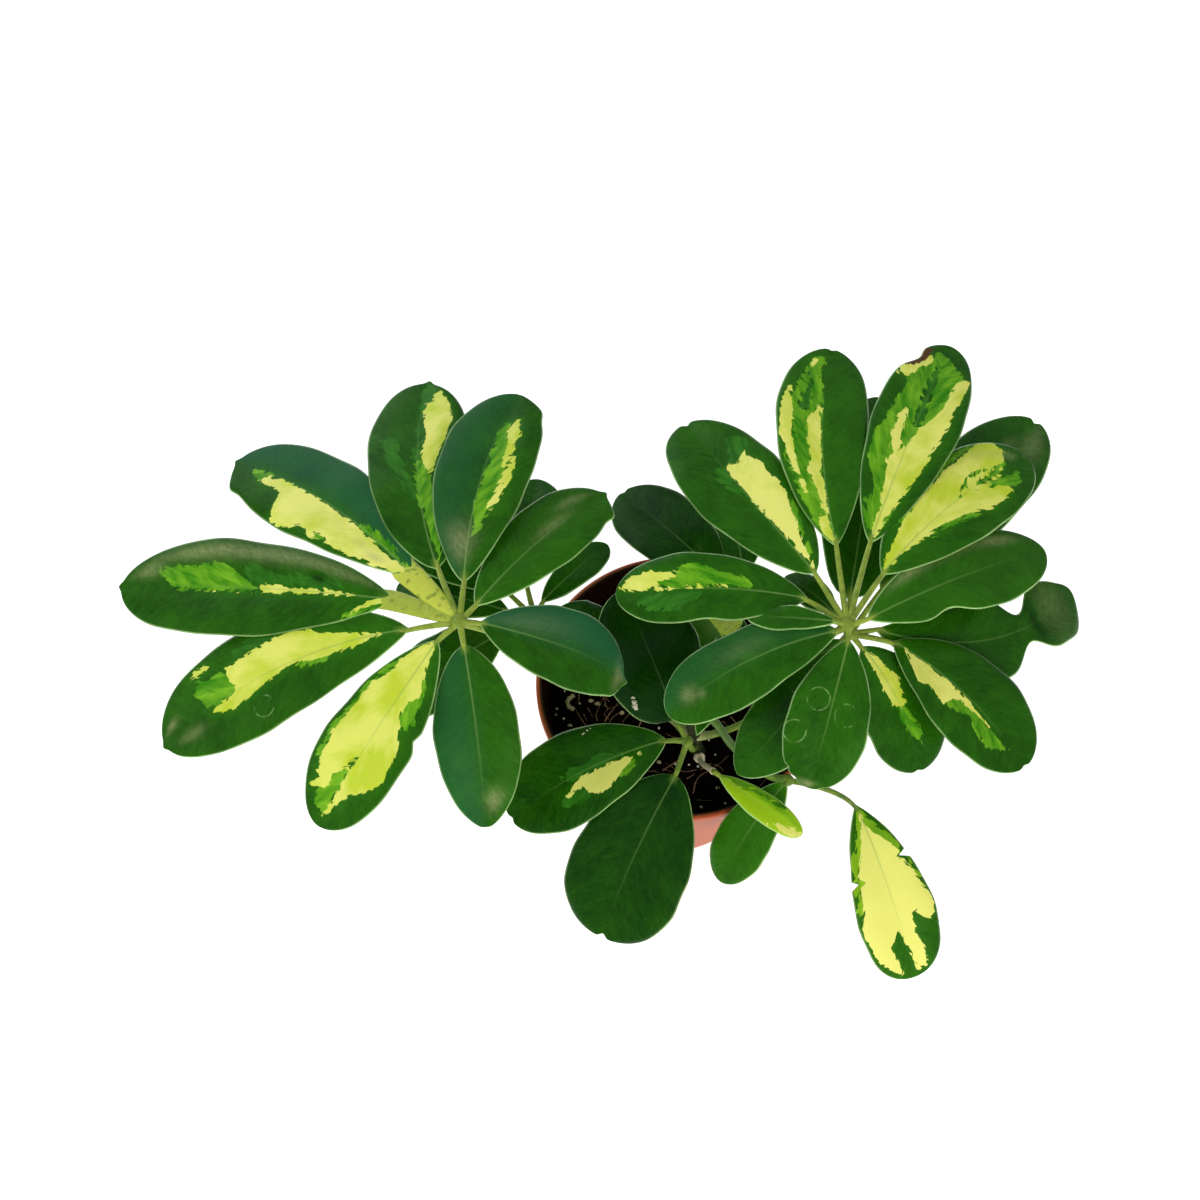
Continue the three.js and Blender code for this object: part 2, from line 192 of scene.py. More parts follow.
@dataclass
class Surface:
    """Closed bodies made of rings, gathered into one mesh, with values kept at each point."""

    points: list[np.ndarray] = field(default_factory=list)
    quads: list[np.ndarray] = field(default_factory=list)
    triangles: list[np.ndarray] = field(default_factory=list)
    values: dict[str, list[np.ndarray]] = field(default_factory=dict)
    count: int = 0

    def add_rings(self, rings: np.ndarray, **values: np.ndarray | float) -> None:
        """Joins each ring to the next with quads and closes both ends with a fan about its middle.

        Args:
            rings: rings, points round each, coordinates; each ring runs right-handed about the way on.
            values: named numbers or vectors for each ring point.
        """
        rows, around, _ = rings.shape
        index = np.arange(rows * around).reshape(rows, around) + self.count
        ahead = np.roll(index, -1, axis=1)
        self.quads.append(np.stack([index[:-1], ahead[:-1], ahead[1:], index[1:]], axis=-1).reshape(-1, 4))
        first = np.full(around, self.count + rows * around)
        self.triangles.append(np.stack([first, ahead[0], index[0]], axis=-1))
        self.triangles.append(np.stack([first + 1, index[-1], ahead[-1]], axis=-1))
        self.points.append(np.vstack([rings.reshape(-1, 3), rings[[0, -1]].mean(axis=1)]))
        for name, value in values.items():
            grid = np.asarray(value, float)
            if grid.ndim < 2:
                grid = np.broadcast_to(grid.reshape(-1, 1) if grid.ndim else grid, (rows, around))
            flat = grid.reshape(rows * around, -1)
            ends = grid[[0, -1]].mean(axis=1).reshape(2, -1)
            self.values.setdefault(name, []).append(np.vstack([flat, ends]))
        self.count += rows * around + 2

    def to_object(self, name: str, material: Material) -> bpy.types.Object:
        """Makes the mesh object, smooth shaded, at the origin.

        Args:
            name: the piece's name.
            material: its finish.

        Returns:
            The new object, linked into the scene.
        """
        points = np.vstack(self.points) * MM
        quads, triangles = np.vstack(self.quads), np.vstack(self.triangles)
        mesh = bpy.data.meshes.new(name)
        mesh.vertices.add(len(points))
        mesh.vertices.foreach_set("co", points.astype(np.float32).ravel())
        corners = np.concatenate([quads.ravel(), triangles.ravel()])
        mesh.loops.add(len(corners))
        mesh.loops.foreach_set("vertex_index", corners.astype(np.int32))
        starts = np.concatenate([np.arange(len(quads)) * 4, quads.size + np.arange(len(triangles)) * 3])
        mesh.polygons.add(len(starts))
        mesh.polygons.foreach_set("loop_start", starts.astype(np.int32))
        mesh.polygons.foreach_set("use_smooth", np.ones(len(starts), dtype=bool))
        mesh.update(calc_edges=True)
        for key, parts in self.values.items():
            data = np.vstack(parts).astype(np.float32)
            kind, slot = ("FLOAT", "value") if data.shape[1] == 1 else ("FLOAT_VECTOR", "vector")
            mesh.attributes.new(key, kind, "POINT").data.foreach_set(slot, data.ravel())
        mesh.validate()
        mesh.materials.append(material)
        piece = bpy.data.objects.new(name, mesh)
        bpy.context.scene.collection.objects.link(piece)
        return piece


def settle(piece: bpy.types.Object, slot: str, *nodes: str) -> None:
    """Makes a piece ride on the plant, hides the CAD nodes that it replaces and logs its face count.

    Args:
        piece: the finished piece.
        slot: not used.
        nodes: the CAD nodes that it replaces.
    """
    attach(piece, "root")
    if nodes:
        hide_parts(*nodes)
    LOG.info("%s: %d faces", piece.name, len(piece.data.polygons))


# ---------------------------------------------------------------- finishes


def to_linear(code: str) -> tuple[float, float, float, float]:
    """Turns an sRGB hex colour to linear light.

    Args:
        code: a colour such as #2A5E24.

    Returns:
        Red, green, blue and alpha.
    """
    channels = [int(code[i : i + 2], 16) / 255 for i in (1, 3, 5)]
    linear = [c / 12.92 if c <= 0.04045 else ((c + 0.055) / 1.055) ** 2.4 for c in channels]
    return (*linear, 1.0)


class Recipe:
    """A material in the making: its node tree and its principled shader."""

    def __init__(self, name: str, roughness: float, ior: float, specular: float = 0.35, **more: float) -> None:
        """Starts the material.

        Args:
            name: the material's name.
            roughness: plain roughness.
            ior: index of refraction.
            specular: level of the plain reflection.
            more: other plain values of the shader, with _ for a space.
        """
        self.material = bpy.data.materials.new(name)
        self.material.use_nodes = True
        self.tree = self.material.node_tree
        self.shader = self.tree.nodes["Principled BSDF"].inputs
        plain = {"Roughness": roughness, "IOR": ior, "Specular IOR Level": specular}
        for key, value in {**plain, **more}.items():
            self.shader[key.replace("_", " ")].default_value = value

    def add(self, kind: str, inputs: dict | tuple = (), out: int | str = 0, **settings: object) -> Socket:
        """Adds a node with its settings and links.

        Args:
            kind: the node's type name, less the ShaderNode that all begin with.
            inputs: values or output sockets by the inputs' names or numbers, or in the inputs' order.
            out: name or number of the output that is wanted.
            settings: the node's own properties.

        Returns:
            That output.
        """
        node = self.tree.nodes.new("ShaderNode" + kind)
        for key, value in settings.items():
            setattr(node, key, value)
        for key, value in inputs.items() if isinstance(inputs, dict) else enumerate(inputs):
            if isinstance(value, Socket):
                self.tree.links.new(value, node.inputs[key])
            else:
                node.inputs[key].default_value = value
        return node.outputs[out]

    def coats(self, base: str | Socket, *coats: tuple[Socket, str | Socket]) -> Socket:
        """Lays colours over a first one in order, each as far as its share says.

        Args:
            base: the first colour, as a hex code or a socket.
            coats: share and colour of each further coat.

        Returns:
            The colour that shows.
        """
        for share, paint in coats:
            under, over = (to_linear(c) if isinstance(c, str) else c for c in (base, paint))
            base = self.add("Mix", {0: share, 6: under, 7: over}, 2, data_type="RGBA")
        return base

    def finish(
        self, colour: Socket, height: Socket, strength: float, depth_mm: float, gloss: Socket | None = None
    ) -> Material:
        """Links the patterns to the shader.

        Args:
            colour: what the surface is painted with.
            height: its relief.
            strength: how strongly the relief shows.
            depth_mm: the relief's real depth.
            gloss: roughness, where it varies.

        Returns:
            The finished material.
        """
        relief = self.add("Bump", {"Height": height, "Strength": strength, "Distance": depth_mm * MM})
        self.tree.links.new(colour, self.shader["Base Color"])
        self.tree.links.new(relief, self.shader["Normal"])
        if gloss is not None:
            self.tree.links.new(gloss, self.shader["Roughness"])
        return self.material


@dataclass(frozen=True)
class LeafCuticle:
    """Waxy cuticle of a variegated leaf blade: deep green with fern, lime and cream flames, satin gloss.

    The wax gives a soft broad highlight. The flames end in steps, because the pale tissue fills whole
    patches between side veins, and the very edge is a thin pale line. The underside is paler and dull.
    """

    deep: str = "#0A3C00"
    fresh: str = "#31700A"
    # A painted reflection: the blue-green of sky light mirrored on a leaf
    cool: str = "#1E5E3E"
    lime: str = "#348408"
    lime_pale: str = "#78B822"
    fern: str = "#226010"
    fern_pale: str = "#387E1C"
    cream: str = "#C4D938"
    cream_pale: str = "#F0F27C"
    young: str = "#A6D01E"
    margin: str = "#B2DC8C"
    # The next colour is a painted olive-grey sheen, and the one after it is painted shade
    film: str = "#A8AF78"
    painted_shade: str = "#042000"
    vein: str = "#7FA858"
    underside: str = "#5E8C42"
    scorch: str = "#5A3A24"
    base: str = "#A2BE52"
    patch_mm: tuple[float, float] = (2.3, 5.5)
    ring_mm: float = 4.0

    def build(self) -> Material:
        """Makes the material; its patterns follow the blade through attributes in millimetres.

        Returns:
            The material.
        """
        recipe = Recipe("leaf_waxy_cuticle", 0.36, 1.45, 0.22, Coat_Weight=0.04, Coat_Roughness=0.2)
        add = recipe.add
        place, veins = (add("Attribute", out="Vector", attribute_name=key) for key in ("leaf_mm", "vein_mm"))
        keys = "cream lime fern edge under tone scorch along young ring cool film bleach".split()
        read = {key: add("Attribute", out="Fac", attribute_name=key) for key in keys}
        # Patches between side veins, with wavering borders, and mottling under 2 mm
        waver = add("TexNoise", {"Vector": place, "Scale": 0.45, "Detail": 3.0}, "Color")
        bent = add("VectorMath", (waver, (2.6, 2.6, 0.0), veins), operation="MULTIPLY_ADD")
        cells = add("Mapping", {"Vector": bent, "Scale": (1 / self.patch_mm[0], 1 / self.patch_mm[1], 1.0)})
        patch = add("TexVoronoi", {"Vector": cells, "Scale": 1.0}, "Color")
        patch = add("SeparateColor", (patch,)).node.outputs
        fine = add("TexNoise", {"Vector": veins, "Scale": 0.55, "Detail": 5.0, "Roughness": 0.65})
        # A flame's border steps from patch to patch and is frayed by the mottling
        masks = {}
        borders = (("cream", 1.3, 1.9, 0.14, 0), ("lime", 1.8, 2.3, 0.22, 1), ("fern", 1.8, 2.3, 0.35, 2))
        for key, step, fray, soft, lot in borders:
            shift = add("Math", (patch[lot], step, read[key]), operation="MULTIPLY_ADD")
            shift = add("Math", (fine, fray, shift), operation="MULTIPLY_ADD")
            middle = (step + fray) / 2
            span = (shift, middle - soft, middle + soft)
            masks[key] = add("MapRange", span, interpolation_type="SMOOTHSTEP")
        # Watery streaks about 3 mm wide leave the midrib at 24 degrees and run on towards the tip
        spots = add("SeparateXYZ", (place,)).node.outputs
        off_rib = add("Math", (spots["Y"],), operation="ABSOLUTE")
        slant = add("Math", (off_rib, -2.2, spots["X"]), operation="MULTIPLY_ADD")
        drawn = add("CombineXYZ", (slant, spots["Y"], spots["Z"]))
        drawn = add("Mapping", {"Vector": drawn, "Scale": (0.13, 0.16, 1.0)})
        streak = add("TexNoise", {"Vector": drawn, "Scale": 1.0, "Detail": 4.0, "Roughness": 0.6})
        # Clouds 14 mm across, the mottling and a step from patch to patch shade the green
        clouds = add("TexNoise", {"Vector": place, "Scale": 0.07, "Detail": 4.0})
        shade = read["tone"]
        for source, weight in ((clouds, 1.1), (fine, 0.8), (patch[2], 0.2)):
            shade = add("Math", (source, weight, shade), operation="MULTIPLY_ADD")
        shade = add("MapRange", (shade, 0.77, 1.97))
        # Streaks and clouds pale the flames; the green freshens within 4 mm of a cream one
        halo = add("MapRange", (read["cream"], -4.0, 0.0, 0.0, 0.3))
        split = add("Math", (patch[2], 0.12, streak), operation="MULTIPLY_ADD")
        split = add("MapRange", (split, 0.42, 0.72))
        cloud = add("MapRange", (clouds, 0.35, 0.65))
        glow = add("Math", (split, 0.35, cloud), operation="MULTIPLY_ADD", use_clamp=True)
        glow = add("Math", (read["young"], 1.1, glow), operation="MULTIPLY_ADD")
        # Each leaflet's value sets its cream paler or darker: partly the leaflet's own tone, partly painted light
        # that makes up for how brightly the leaflet is lit
        glow = add("Math", (glow, read["bleach"]), operation="ADD", use_clamp=True)
        newish = add("Math", (read["young"], 0.4), operation="MULTIPLY")
        # Painted reflection: the green takes on a blue-green reflection of sky light on one half of some leaflets
        green_skin = recipe.coats(self.deep, (shade, self.fresh), (read["cool"], self.cool), (halo, self.lime))
        cream_skin = recipe.coats(self.cream, (glow, self.cream_pale))
        lime_skin = recipe.coats(self.lime, (split, self.lime_pale), (read["young"], self.young))
        fern_skin = recipe.coats(self.fern, (split, self.fern_pale), (newish, self.young))
        # A painted olive-grey sheen lies on some places, broken up by the mottling; a negative strength is
        # painted shade, which darkens a whole leaflet that lies in shade or a small spot
        painted_sheen = add("MapRange", (fine, 0.3, 0.65, 0.5))
        painted_sheen = add("Math", (read["film"], painted_sheen), operation="MULTIPLY", use_clamp=True)
        spot = add("Math", (read["film"], -1.0), operation="MULTIPLY", use_clamp=True)
        burn = add("Math", (fine, 3.0, read["scorch"]), operation="MULTIPLY_ADD")
        burn = add("MapRange", (burn, 1.3, 1.8))
        under = add("Math", (read["under"], 0.65), operation="MULTIPLY")
        drop = add("Math", (read["ring"], self.ring_mm), operation="SUBTRACT")
        drop = add("Math", (drop,), operation="ABSOLUTE")
        # Lines, each where two spans meet: the midrib, its pale foot, broken drying rings, the leaf's rim
        rib, foot, dried, rim = (
            add("Math", (add("MapRange", one), add("MapRange", two)), operation="MULTIPLY")
            for one, two in (
                ((off_rib, 0.5, 0.1), (read["along"], 0.85, 0.05, 0.0, 0.55)),
                ((read["along"], 0.06, 0.0, 0.0, 0.5), (off_rib, 2.0, 0.4)),
                ((drop, 0.35, 0.05, 0.0, 0.85), (streak, 0.46, 0.66, 0.0, 0.55)),
                ((read["edge"], 0.62, 0.18, 0.0, 0.9), (cloud, 0.0, 1.0, 0.45)),
            )
        )
        colour = recipe.coats(
            green_skin, (masks["fern"], fern_skin), (masks["lime"], lime_skin), (masks["cream"], cream_skin),
            (rib, self.vein), (spot, self.painted_shade), (painted_sheen, self.film), (foot, self.base), (dried, self.margin),
            (burn, self.scorch), (under, self.underside), (rim, self.margin),
        )
        gloss = add("Math", (fine, 0.14, 0.2), operation="MULTIPLY_ADD")
        gloss = add("Math", (read["under"], 0.3, gloss), operation="MULTIPLY_ADD")
        # Side veins about 6 mm apart lie a little sunk, over a faintly pebbled surface
        bands = {"Vector": bent, "Scale": 0.052, "Distortion": 1.5, "Detail": 1.0}
        sunk = add("TexWave", bands, "Fac", bands_direction="X")
        sunk = add("MapRange", (sunk, 0.0, 0.25, 0.0, 0.3))
        grain = add("TexNoise", {"Vector": place, "Scale": 0.9, "Detail": 3.0})
        height = add("Math", (grain, 0.9, sunk), operation="MULTIPLY_ADD")
        return recipe.finish(colour, height, 0.17, 0.3, gloss)


@dataclass(frozen=True)
class PetioleSkin:
    """Smooth green skin of petioles and ribs, going woody and tan where a value says so, and darker where another
    value paints shade on stalks that lie in shade.
    """

    green: str = "#9CB042"
    shade: str = "#476A22"
    # Near white, paler than the tissue's own tan: partly painted light, which makes up for the shade that the
    # corky knob lies in
    woody: str = "#F6E0C6"
    pale: str = "#C2CF4C"

    def build(self) -> Material:
        """Makes the material from streaks in object space and the stalk's own values.

        Returns:
            The material.
        """
        recipe = Recipe("petiole_green_skin", 0.42, 1.45)
        add = recipe.add
        place = add("TexCoord", out="Object")
        woody, dark, pale = (add("Attribute", out="Fac", attribute_name=key) for key in ("woody", "dark", "pale"))
        noise = add("TexNoise", {"Vector": place, "Scale": 260.0, "Detail": 3.0})
        share = add("MapRange", (noise, 0.35, 0.7, 0.0, 0.5))
        # dark is painted shade: it pulls the stalk towards the shade colour where the stalk lies in shade
        share = add("Math", (share, dark), operation="ADD", use_clamp=True)
        # Pale stretches keep green blotches about 2 mm across
        blotch = add("TexNoise", {"Vector": place, "Scale": 380.0, "Detail": 2.0})
        blotch = add("MapRange", (blotch, 0.34, 0.43, 0.1))
        pale = add("Math", (pale, blotch), operation="MULTIPLY")
        colour = recipe.coats(self.green, (share, self.shade), (pale, self.pale), (woody, self.woody))
        return recipe.finish(colour, noise, 0.2, 0.2)


@dataclass(frozen=True)
class YoungBark:
    """Half-woody bark of the stem: olive brown with corky flecks about 1 mm across, dull."""

    bark: str = "#22280F"
    fleck: str = "#5C5A36"

    def build(self) -> Material:
        """Makes the material with flecks in object space, drawn out upwards.

        Returns:
            The material.
        """
        recipe = Recipe("stem_young_bark", 0.75, 1.5)
        place = recipe.add("TexCoord", out="Object")
        drawn = recipe.add("Mapping", {"Vector": place, "Scale": (900.0, 900.0, 320.0)})
        noise = recipe.add("TexNoise", {"Vector": drawn, "Scale": 1.0, "Detail": 4.0})
        share = recipe.add("MapRange", (noise, 0.5, 0.72))
        return recipe.finish(recipe.coats(self.bark, (share, self.fleck)), noise, 0.6, 0.4)


@dataclass(frozen=True)
class MouldedPolypropylene:
    """Injection-moulded polypropylene in terracotta: satin, with faint flow clouds and a dusty bloom."""

    body: str = "#A54A24"
    bloom: str = "#B45E34"
    # Painted shade for the inside wall, with a little soil stain
    shade_and_soil_stain: str = "#0E0502"

    def build(self) -> Material:
        """Makes the material; the inside above the compost is painted almost black, as painted shade with a
        little soil stain.

        Returns:
            The material.
        """
        recipe = Recipe("pot_moulded_polypropylene", 0.5, 1.49)
        add = recipe.add
        place = add("TexCoord", out="Object")
        inside = add("Attribute", out="Fac", attribute_name="inside")
        clouds = add("TexNoise", {"Vector": place, "Scale": 45.0, "Detail": 4.0})
        grit = add("TexNoise", {"Vector": place, "Scale": 900.0, "Detail": 3.0})
        share = add("MapRange", (clouds, 0.35, 0.75))
        # Painted shade inside the pot, with a little soil stain: the inside wall goes almost black
        shade_and_stain_share = add("MapRange", (grit, 0.3, 0.7, 0.93, 1.0))
        shade_and_stain_share = add("Math", (shade_and_stain_share, inside), operation="MULTIPLY")
        gloss = add("MapRange", (clouds, 0.0, 1.0, 0.42, 0.6))
        colour = recipe.coats(self.body, (share, self.bloom), (shade_and_stain_share, self.shade_and_soil_stain))
        return recipe.finish(colour, grit, 0.12, 0.2, gloss)


@dataclass(frozen=True)
class Grained:
    """A dull natural stuff of two colours with grain: damp peat, dry root, perlite, husk or dried crust."""

    name: str
    dark: str
    light: str
    grain_mm: float
    roughness: float = 0.9
    gloss: float = 0.2

    def build(self) -> Material:
        """Makes the material with grain in object space.

        Returns:
            The material.
        """
        recipe = Recipe(self.name, self.roughness, 1.5, self.gloss)
        place = recipe.add("TexCoord", out="Object")
        grain = {"Vector": place, "Scale": 1 / (self.grain_mm * MM), "Detail": 5.0, "Roughness": 0.65}
        noise = recipe.add("TexNoise", grain)
        share = recipe.add("MapRange", (noise, 0.38, 0.7))
        return recipe.finish(recipe.coats(self.dark, (share, self.light)), noise, 0.6, 0.6)


@dataclass(frozen=True)
class MattPaper:
    """Matt white paper of the floor; it gives off a little light, so that it reads as white."""

    sheet: str = "#F4F4F2"
    cloud: str = "#F8F8F7"
    glow: float = 0.6

    def build(self) -> Material:
        """Makes the material, clouded over about a third of a metre and without relief.

        Returns:
            The material.
        """
        recipe = Recipe("floor_matt_paper", 0.95, 1.4, Emission_Strength=self.glow)
        place = recipe.add("TexCoord", out="Object")
        noise = recipe.add("TexNoise", {"Vector": place, "Scale": 3.0})
        recipe.tree.links.new(recipe.coats(self.sheet, (noise, self.cloud)), recipe.shader["Base Color"])
        recipe.shader["Emission Color"].default_value = to_linear("#FFFFFF")
        return recipe.material


# ---------------------------------------------------------------- leaves

NOWHERE_MM = -9.0  # a flame's depth where there is none
FAR_MM = 99.0  # way to the nearest drying ring where there is none
HUB_TO_BLADE = 1.45  # how far a blade's foot stands above its hub's middle, in millimetres
LEAST_HALF_WIDTH = 0.35
HALF_THICKNESS = 0.36
FOLD, ROUNDING = 0.16, 0.1  # a half's rise from the midrib and its rounding over, as shares of half width
CREASE = 0.1  # how softly the halves meet at the midrib, as a share of half width
EDGE_DROP = 0.04  # how far the very edge turns down, as a share of half width
UNEVEN_MM, UNEVEN_CELL_MM = 0.4, 9  # height and size of the blade's small swells
STALK_RADII, RIB_RADII = (1.2, 0.82), (0.8, 0.14)  # at either end, in millimetres
PINCH_AT, PINCH_REACH = 0.68, 0.09  # where along the blade a pinched one is drawn in
CLEFT_MM = 1.5  # half width of the notch in a tip
RIPPLES = ((0.012, 14), (0.009, 27))  # the outline's ripples: height as a share of half width, and pace
WAVES = ((9, 17), (10, 16))  # pace of the coarse and the fine wave of the left and of the right half
VEIN_SLANT = 0.85  # how far side veins run on towards the tip for each millimetre from the midrib
SPOT_STEP = 13.7  # how far apart neighbouring leaflets lie in the patterns
SCORCH_AT, SCORCH_REACH, SCORCH_SIDE = 0.88, 0.055, 0.8  # the brown piece of margin, in shares


class Tone(Enum):
    """Tissue of a flame on a leaflet; each covers the tones before it."""

    CREAM = "cream"
    LIME = "lime"
    FERN = "fern"
    GREEN = "green"


@dataclass(frozen=True)
class Flame:
    """A patch of paler tissue: along, low and high edge in percent of length and half width, knot by knot."""

    tone: Tone
    knots: tuple[Point, ...]

    def depth(self, along: np.ndarray, side: np.ndarray, half_width: np.ndarray, length: float) -> np.ndarray:
        """How deep each place lies in the patch: the least of the ways to its four edges.

        Args:
            along: way along the blade, from 0 to 1.
            side: place across it, 1 at the left margin and -1 at the right one.
            half_width: half width there, in millimetres.
            length: length of the blade, in millimetres.

        Returns:
            Depth in millimetres, negative outside.
        """
        t, low, high = np.array(self.knots).T / 100
        down = (side - np.interp(along, t, low)) * half_width
        up = (np.interp(along, t, high) - side) * half_width
        ends = np.minimum(along - t[0], t[-1] - along) * length + 0.6
        return np.minimum(np.minimum(down, up), ends)


def cream(*knots: Point) -> Flame:
    """A cream flame through knots."""
    return Flame(Tone.CREAM, knots)


def lime(*knots: Point) -> Flame:
    """A lime flame through knots."""
    return Flame(Tone.LIME, knots)


def fern(*knots: Point) -> Flame:
    """A flame only a little paler than the green."""
    return Flame(Tone.FERN, knots)


def green(*knots: Point) -> Flame:
    """A green tongue that covers what was there before."""
    return Flame(Tone.GREEN, knots)


@dataclass(frozen=True)
class Nick:
    """A dent in a margin: place, side (+1 left), depth as a share of half width, and length as a share."""

    along: float
    side: int
    depth: float
    reach: float


@dataclass(frozen=True)
class Leaflet:
    """One leaflet: where its tip lies from the hub, its stalk, its outline, its curves and its markings.

    The tip lies at a heading (degrees), a reach and a drop from the hub. The stalk leaves the hub at
    heading + swing. bend and arch carry the midrib's middle to the left and up, roll raises the left half,
    twist is the roll gained by the tip, and widest, blunt and pinch shape the outline. notch cuts the tip
    back at the midrib (drawn out if negative), and hook carries it aside. wing and pale widen and pale the
    stalk, stalk_rise lifts it, and lift raises the whole leaflet. dry and scorch brown the blade or a piece
    of its left margin. Specks are (along, side, size in mm), drying rings (along, side), and patches of
    painted light (along, side, reach along, reach across, strength): painted sheen where the strength is
    positive, and painted shade where it is negative.
    """

    heading: float
    reach: float
    drop: float
    stalk: float
    swing: float
    width: float
    bend: float = 0.0
    arch: float = 3.0
    roll: float = 0.0
    twist: float = 0.0
    widest: float = 0.6
    blunt: float = 0.5
    pinch: float = 0.0
    stalk_rise: float = 0.0
    notch: float = 0.0
    wing: float = 1.0
    pale: float = 0.0
    lift: float = 0.0
    young: float = 0.0
    # Painted reflection of sky light, blue-green, on the left half if positive and on the right half if negative
    cool: float = 0.0
    hook: float = 0.0
    dry: float = NOWHERE_MM
    specks: tuple[Point, ...] = ()
    rings: tuple[tuple[float, float], ...] = ()
    tone: float = 0.3
    ruffle: float = 0.5
    scorch: bool = False
    nicks: tuple[Nick, ...] = ()
    flames: tuple[Flame, ...] = ()
    # Soft patches of painted sheen, or of painted shade where the strength is negative
    painted_lights: tuple[tuple[float, float, float, float, float], ...] = ()
    # Paler or darker cream: partly the leaflet's own tone, partly painted light that makes up for how brightly it
    # is lit
    bleach: float = -0.12

    def ends(self, hub: np.ndarray) -> tuple[np.ndarray, np.ndarray]:
        """Finds the blade's two ends.

        Args:
            hub: the leaf's hub.

        Returns:
            Where the stalk ends and the blade starts, and the tip.
        """
        base = hub + flat_direction(self.heading + self.swing) * self.stalk
        base[2] += HUB_TO_BLADE + self.lift - self.drop * self.stalk / self.reach
        tip = hub + flat_direction(self.heading) * self.reach + UP * (self.lift - self.drop)
        return base, tip

    def half_width(self, along: np.ndarray) -> np.ndarray:
        """Half width: a rising power of the way along times a falling power of the way left to the tip.

        Args:
            along: way along the blade, from 0 to 1.

        Returns:
            Millimetres.
        """
        taper = self.blunt * self.widest / (1 - self.widest)
        plain = (along / self.widest) ** taper * (np.clip(1 - along, 0, None) / (1 - self.widest)) ** self.blunt
        pinched = plain * (1 - self.pinch * bell(along, PINCH_AT, PINCH_REACH))
        return np.maximum(self.width / 2 * pinched, LEAST_HALF_WIDTH)

    def axes(self, hub: np.ndarray, along: np.ndarray) -> tuple[np.ndarray, np.ndarray, np.ndarray, np.ndarray]:
        """Lays out the midrib: the chord from base to tip plus a parabola that carries its middle aside.

        Args:
            hub: the leaf's hub.
            along: ways along the blade, from 0 to 1.

        Returns:
            Midrib point, way on, way left and normal at each place.
        """
        base, tip = self.ends(hub)
        chord = tip - base
        left = unit(np.cross(UP, chord))
        rise = unit(np.cross(chord, left))
        lean = rise * self.arch + left * self.bend
        t = along[:, None]
        middle = base + chord * t + lean * 4 * t * (1 - t)
        tangent = unit(chord + lean * 4 * (1 - 2 * t))
        turn = np.radians(self.roll + self.twist * t**2)
        swung = left * np.cos(turn) + np.cross(tangent, left) * np.sin(turn)
        swung += tangent * (tangent @ left)[:, None] * (1 - np.cos(turn))
        normal = unit(np.cross(tangent, swung))
        return middle, tangent, np.cross(normal, tangent), normal

    def tissue(
        self, along: np.ndarray, side: np.ndarray, width: np.ndarray, length: float
    ) -> dict[str, np.ndarray]:
        """Works out where the flames lie, drawn in order.

        Args:
            along, side, width, length: as for Flame.depth.

        Returns:
            Depth in millimetres for each pale tone.
        """
        ranks = list(Tone)
        depths = {tone: np.full(width.shape, NOWHERE_MM) for tone in ranks[:-1]}
        for flame in self.flames:
            depth = flame.depth(along, side, width, length)
            if flame.tone in depths:
                depths[flame.tone] = np.maximum(depths[flame.tone], depth)
            for tone in ranks[: ranks.index(flame.tone)]:
                depths[tone] = np.minimum(depths[tone], -depth)
        return {tone.value: depth for tone, depth in depths.items()}

    def blade(self, hub: np.ndarray, seed: int) -> tuple[np.ndarray, dict[str, np.ndarray]]:
        """Rings of the blade and the values that its finish reads.

        Each ring runs from the left margin over the top to the right margin and back underneath. Each half
        rises from the midrib and rounds over again, margins ripple a little, and the blade thins to its edge.

        Args:
            hub: the leaf's hub.
            seed: sets the ripple and the patterns apart from other leaflets'.

        Returns:
            Rings, and named values at each ring point.
        """
        rows, half = 60, 22
        along = np.sin(np.pi / 2 * np.linspace(0, 1, rows + 1))
        over = 0.5 * np.cos(np.linspace(0, np.pi, half + 1)) + 0.5 * np.linspace(1, -1, half + 1)
        side = np.concatenate([over, over[-2:0:-1]])
        face = np.concatenate([np.ones(half + 1), -np.ones(half - 1)])
        middle, tangent, across, normal = self.axes(hub, along)
        t, size = along[:, None], np.abs(side)
        width = self.half_width(along)[:, None] * np.ones_like(side)
        for nick in self.nicks:
            dent = nick.depth * bell(along, nick.along, nick.reach)[:, None]
            width = width * (1 - dent * (side * nick.side > 0))
        phase = np.random.default_rng(seed).uniform(0, TURN, 4)
        ripple = sum(high * np.sin(pace * t + turn * side) for (high, pace), turn in zip(RIPPLES, phase))
        width = width * (1 + ripple)
        base, tip = self.ends(hub)
        length = float(np.linalg.norm(tip - base))
        x, y = t * length + 0 * side, side * width
        # The surface: fold, ripple towards the margins, turned-down edge and small unevenness
        lift = width * (FOLD * (np.sqrt(size**2 + CREASE**2) - CREASE) - ROUNDING * side**2)
        left, right = (
            np.sin(coarse * t + one) + 0.5 * np.sin(fine * t + two)
            for (coarse, fine), (one, two) in zip(WAVES, phase.reshape(2, 2))
        )
        wave = np.where(side > 0, left, right)
        lift = lift + self.ruffle * wave * side**2 * np.sin(np.pi * t) - EDGE_DROP * width * size**6
        lift += UNEVEN_MM * lattice_noise(x, y, UNEVEN_CELL_MM, seed) * np.sin(np.pi * t)
        body = HALF_THICKNESS * np.sqrt(np.clip(1 - size**6, 0, 1)) * face
        rings = middle[:, None] + y[..., None] * across[:, None] + (lift + body)[..., None] * normal[:, None]
        cleft = self.notch * bell(y, 0, CLEFT_MM) * t**14
        rings = rings - cleft[..., None] * tangent[:, None]
        rings = rings + self.hook * (along**7)[:, None, None] * across[:, None]
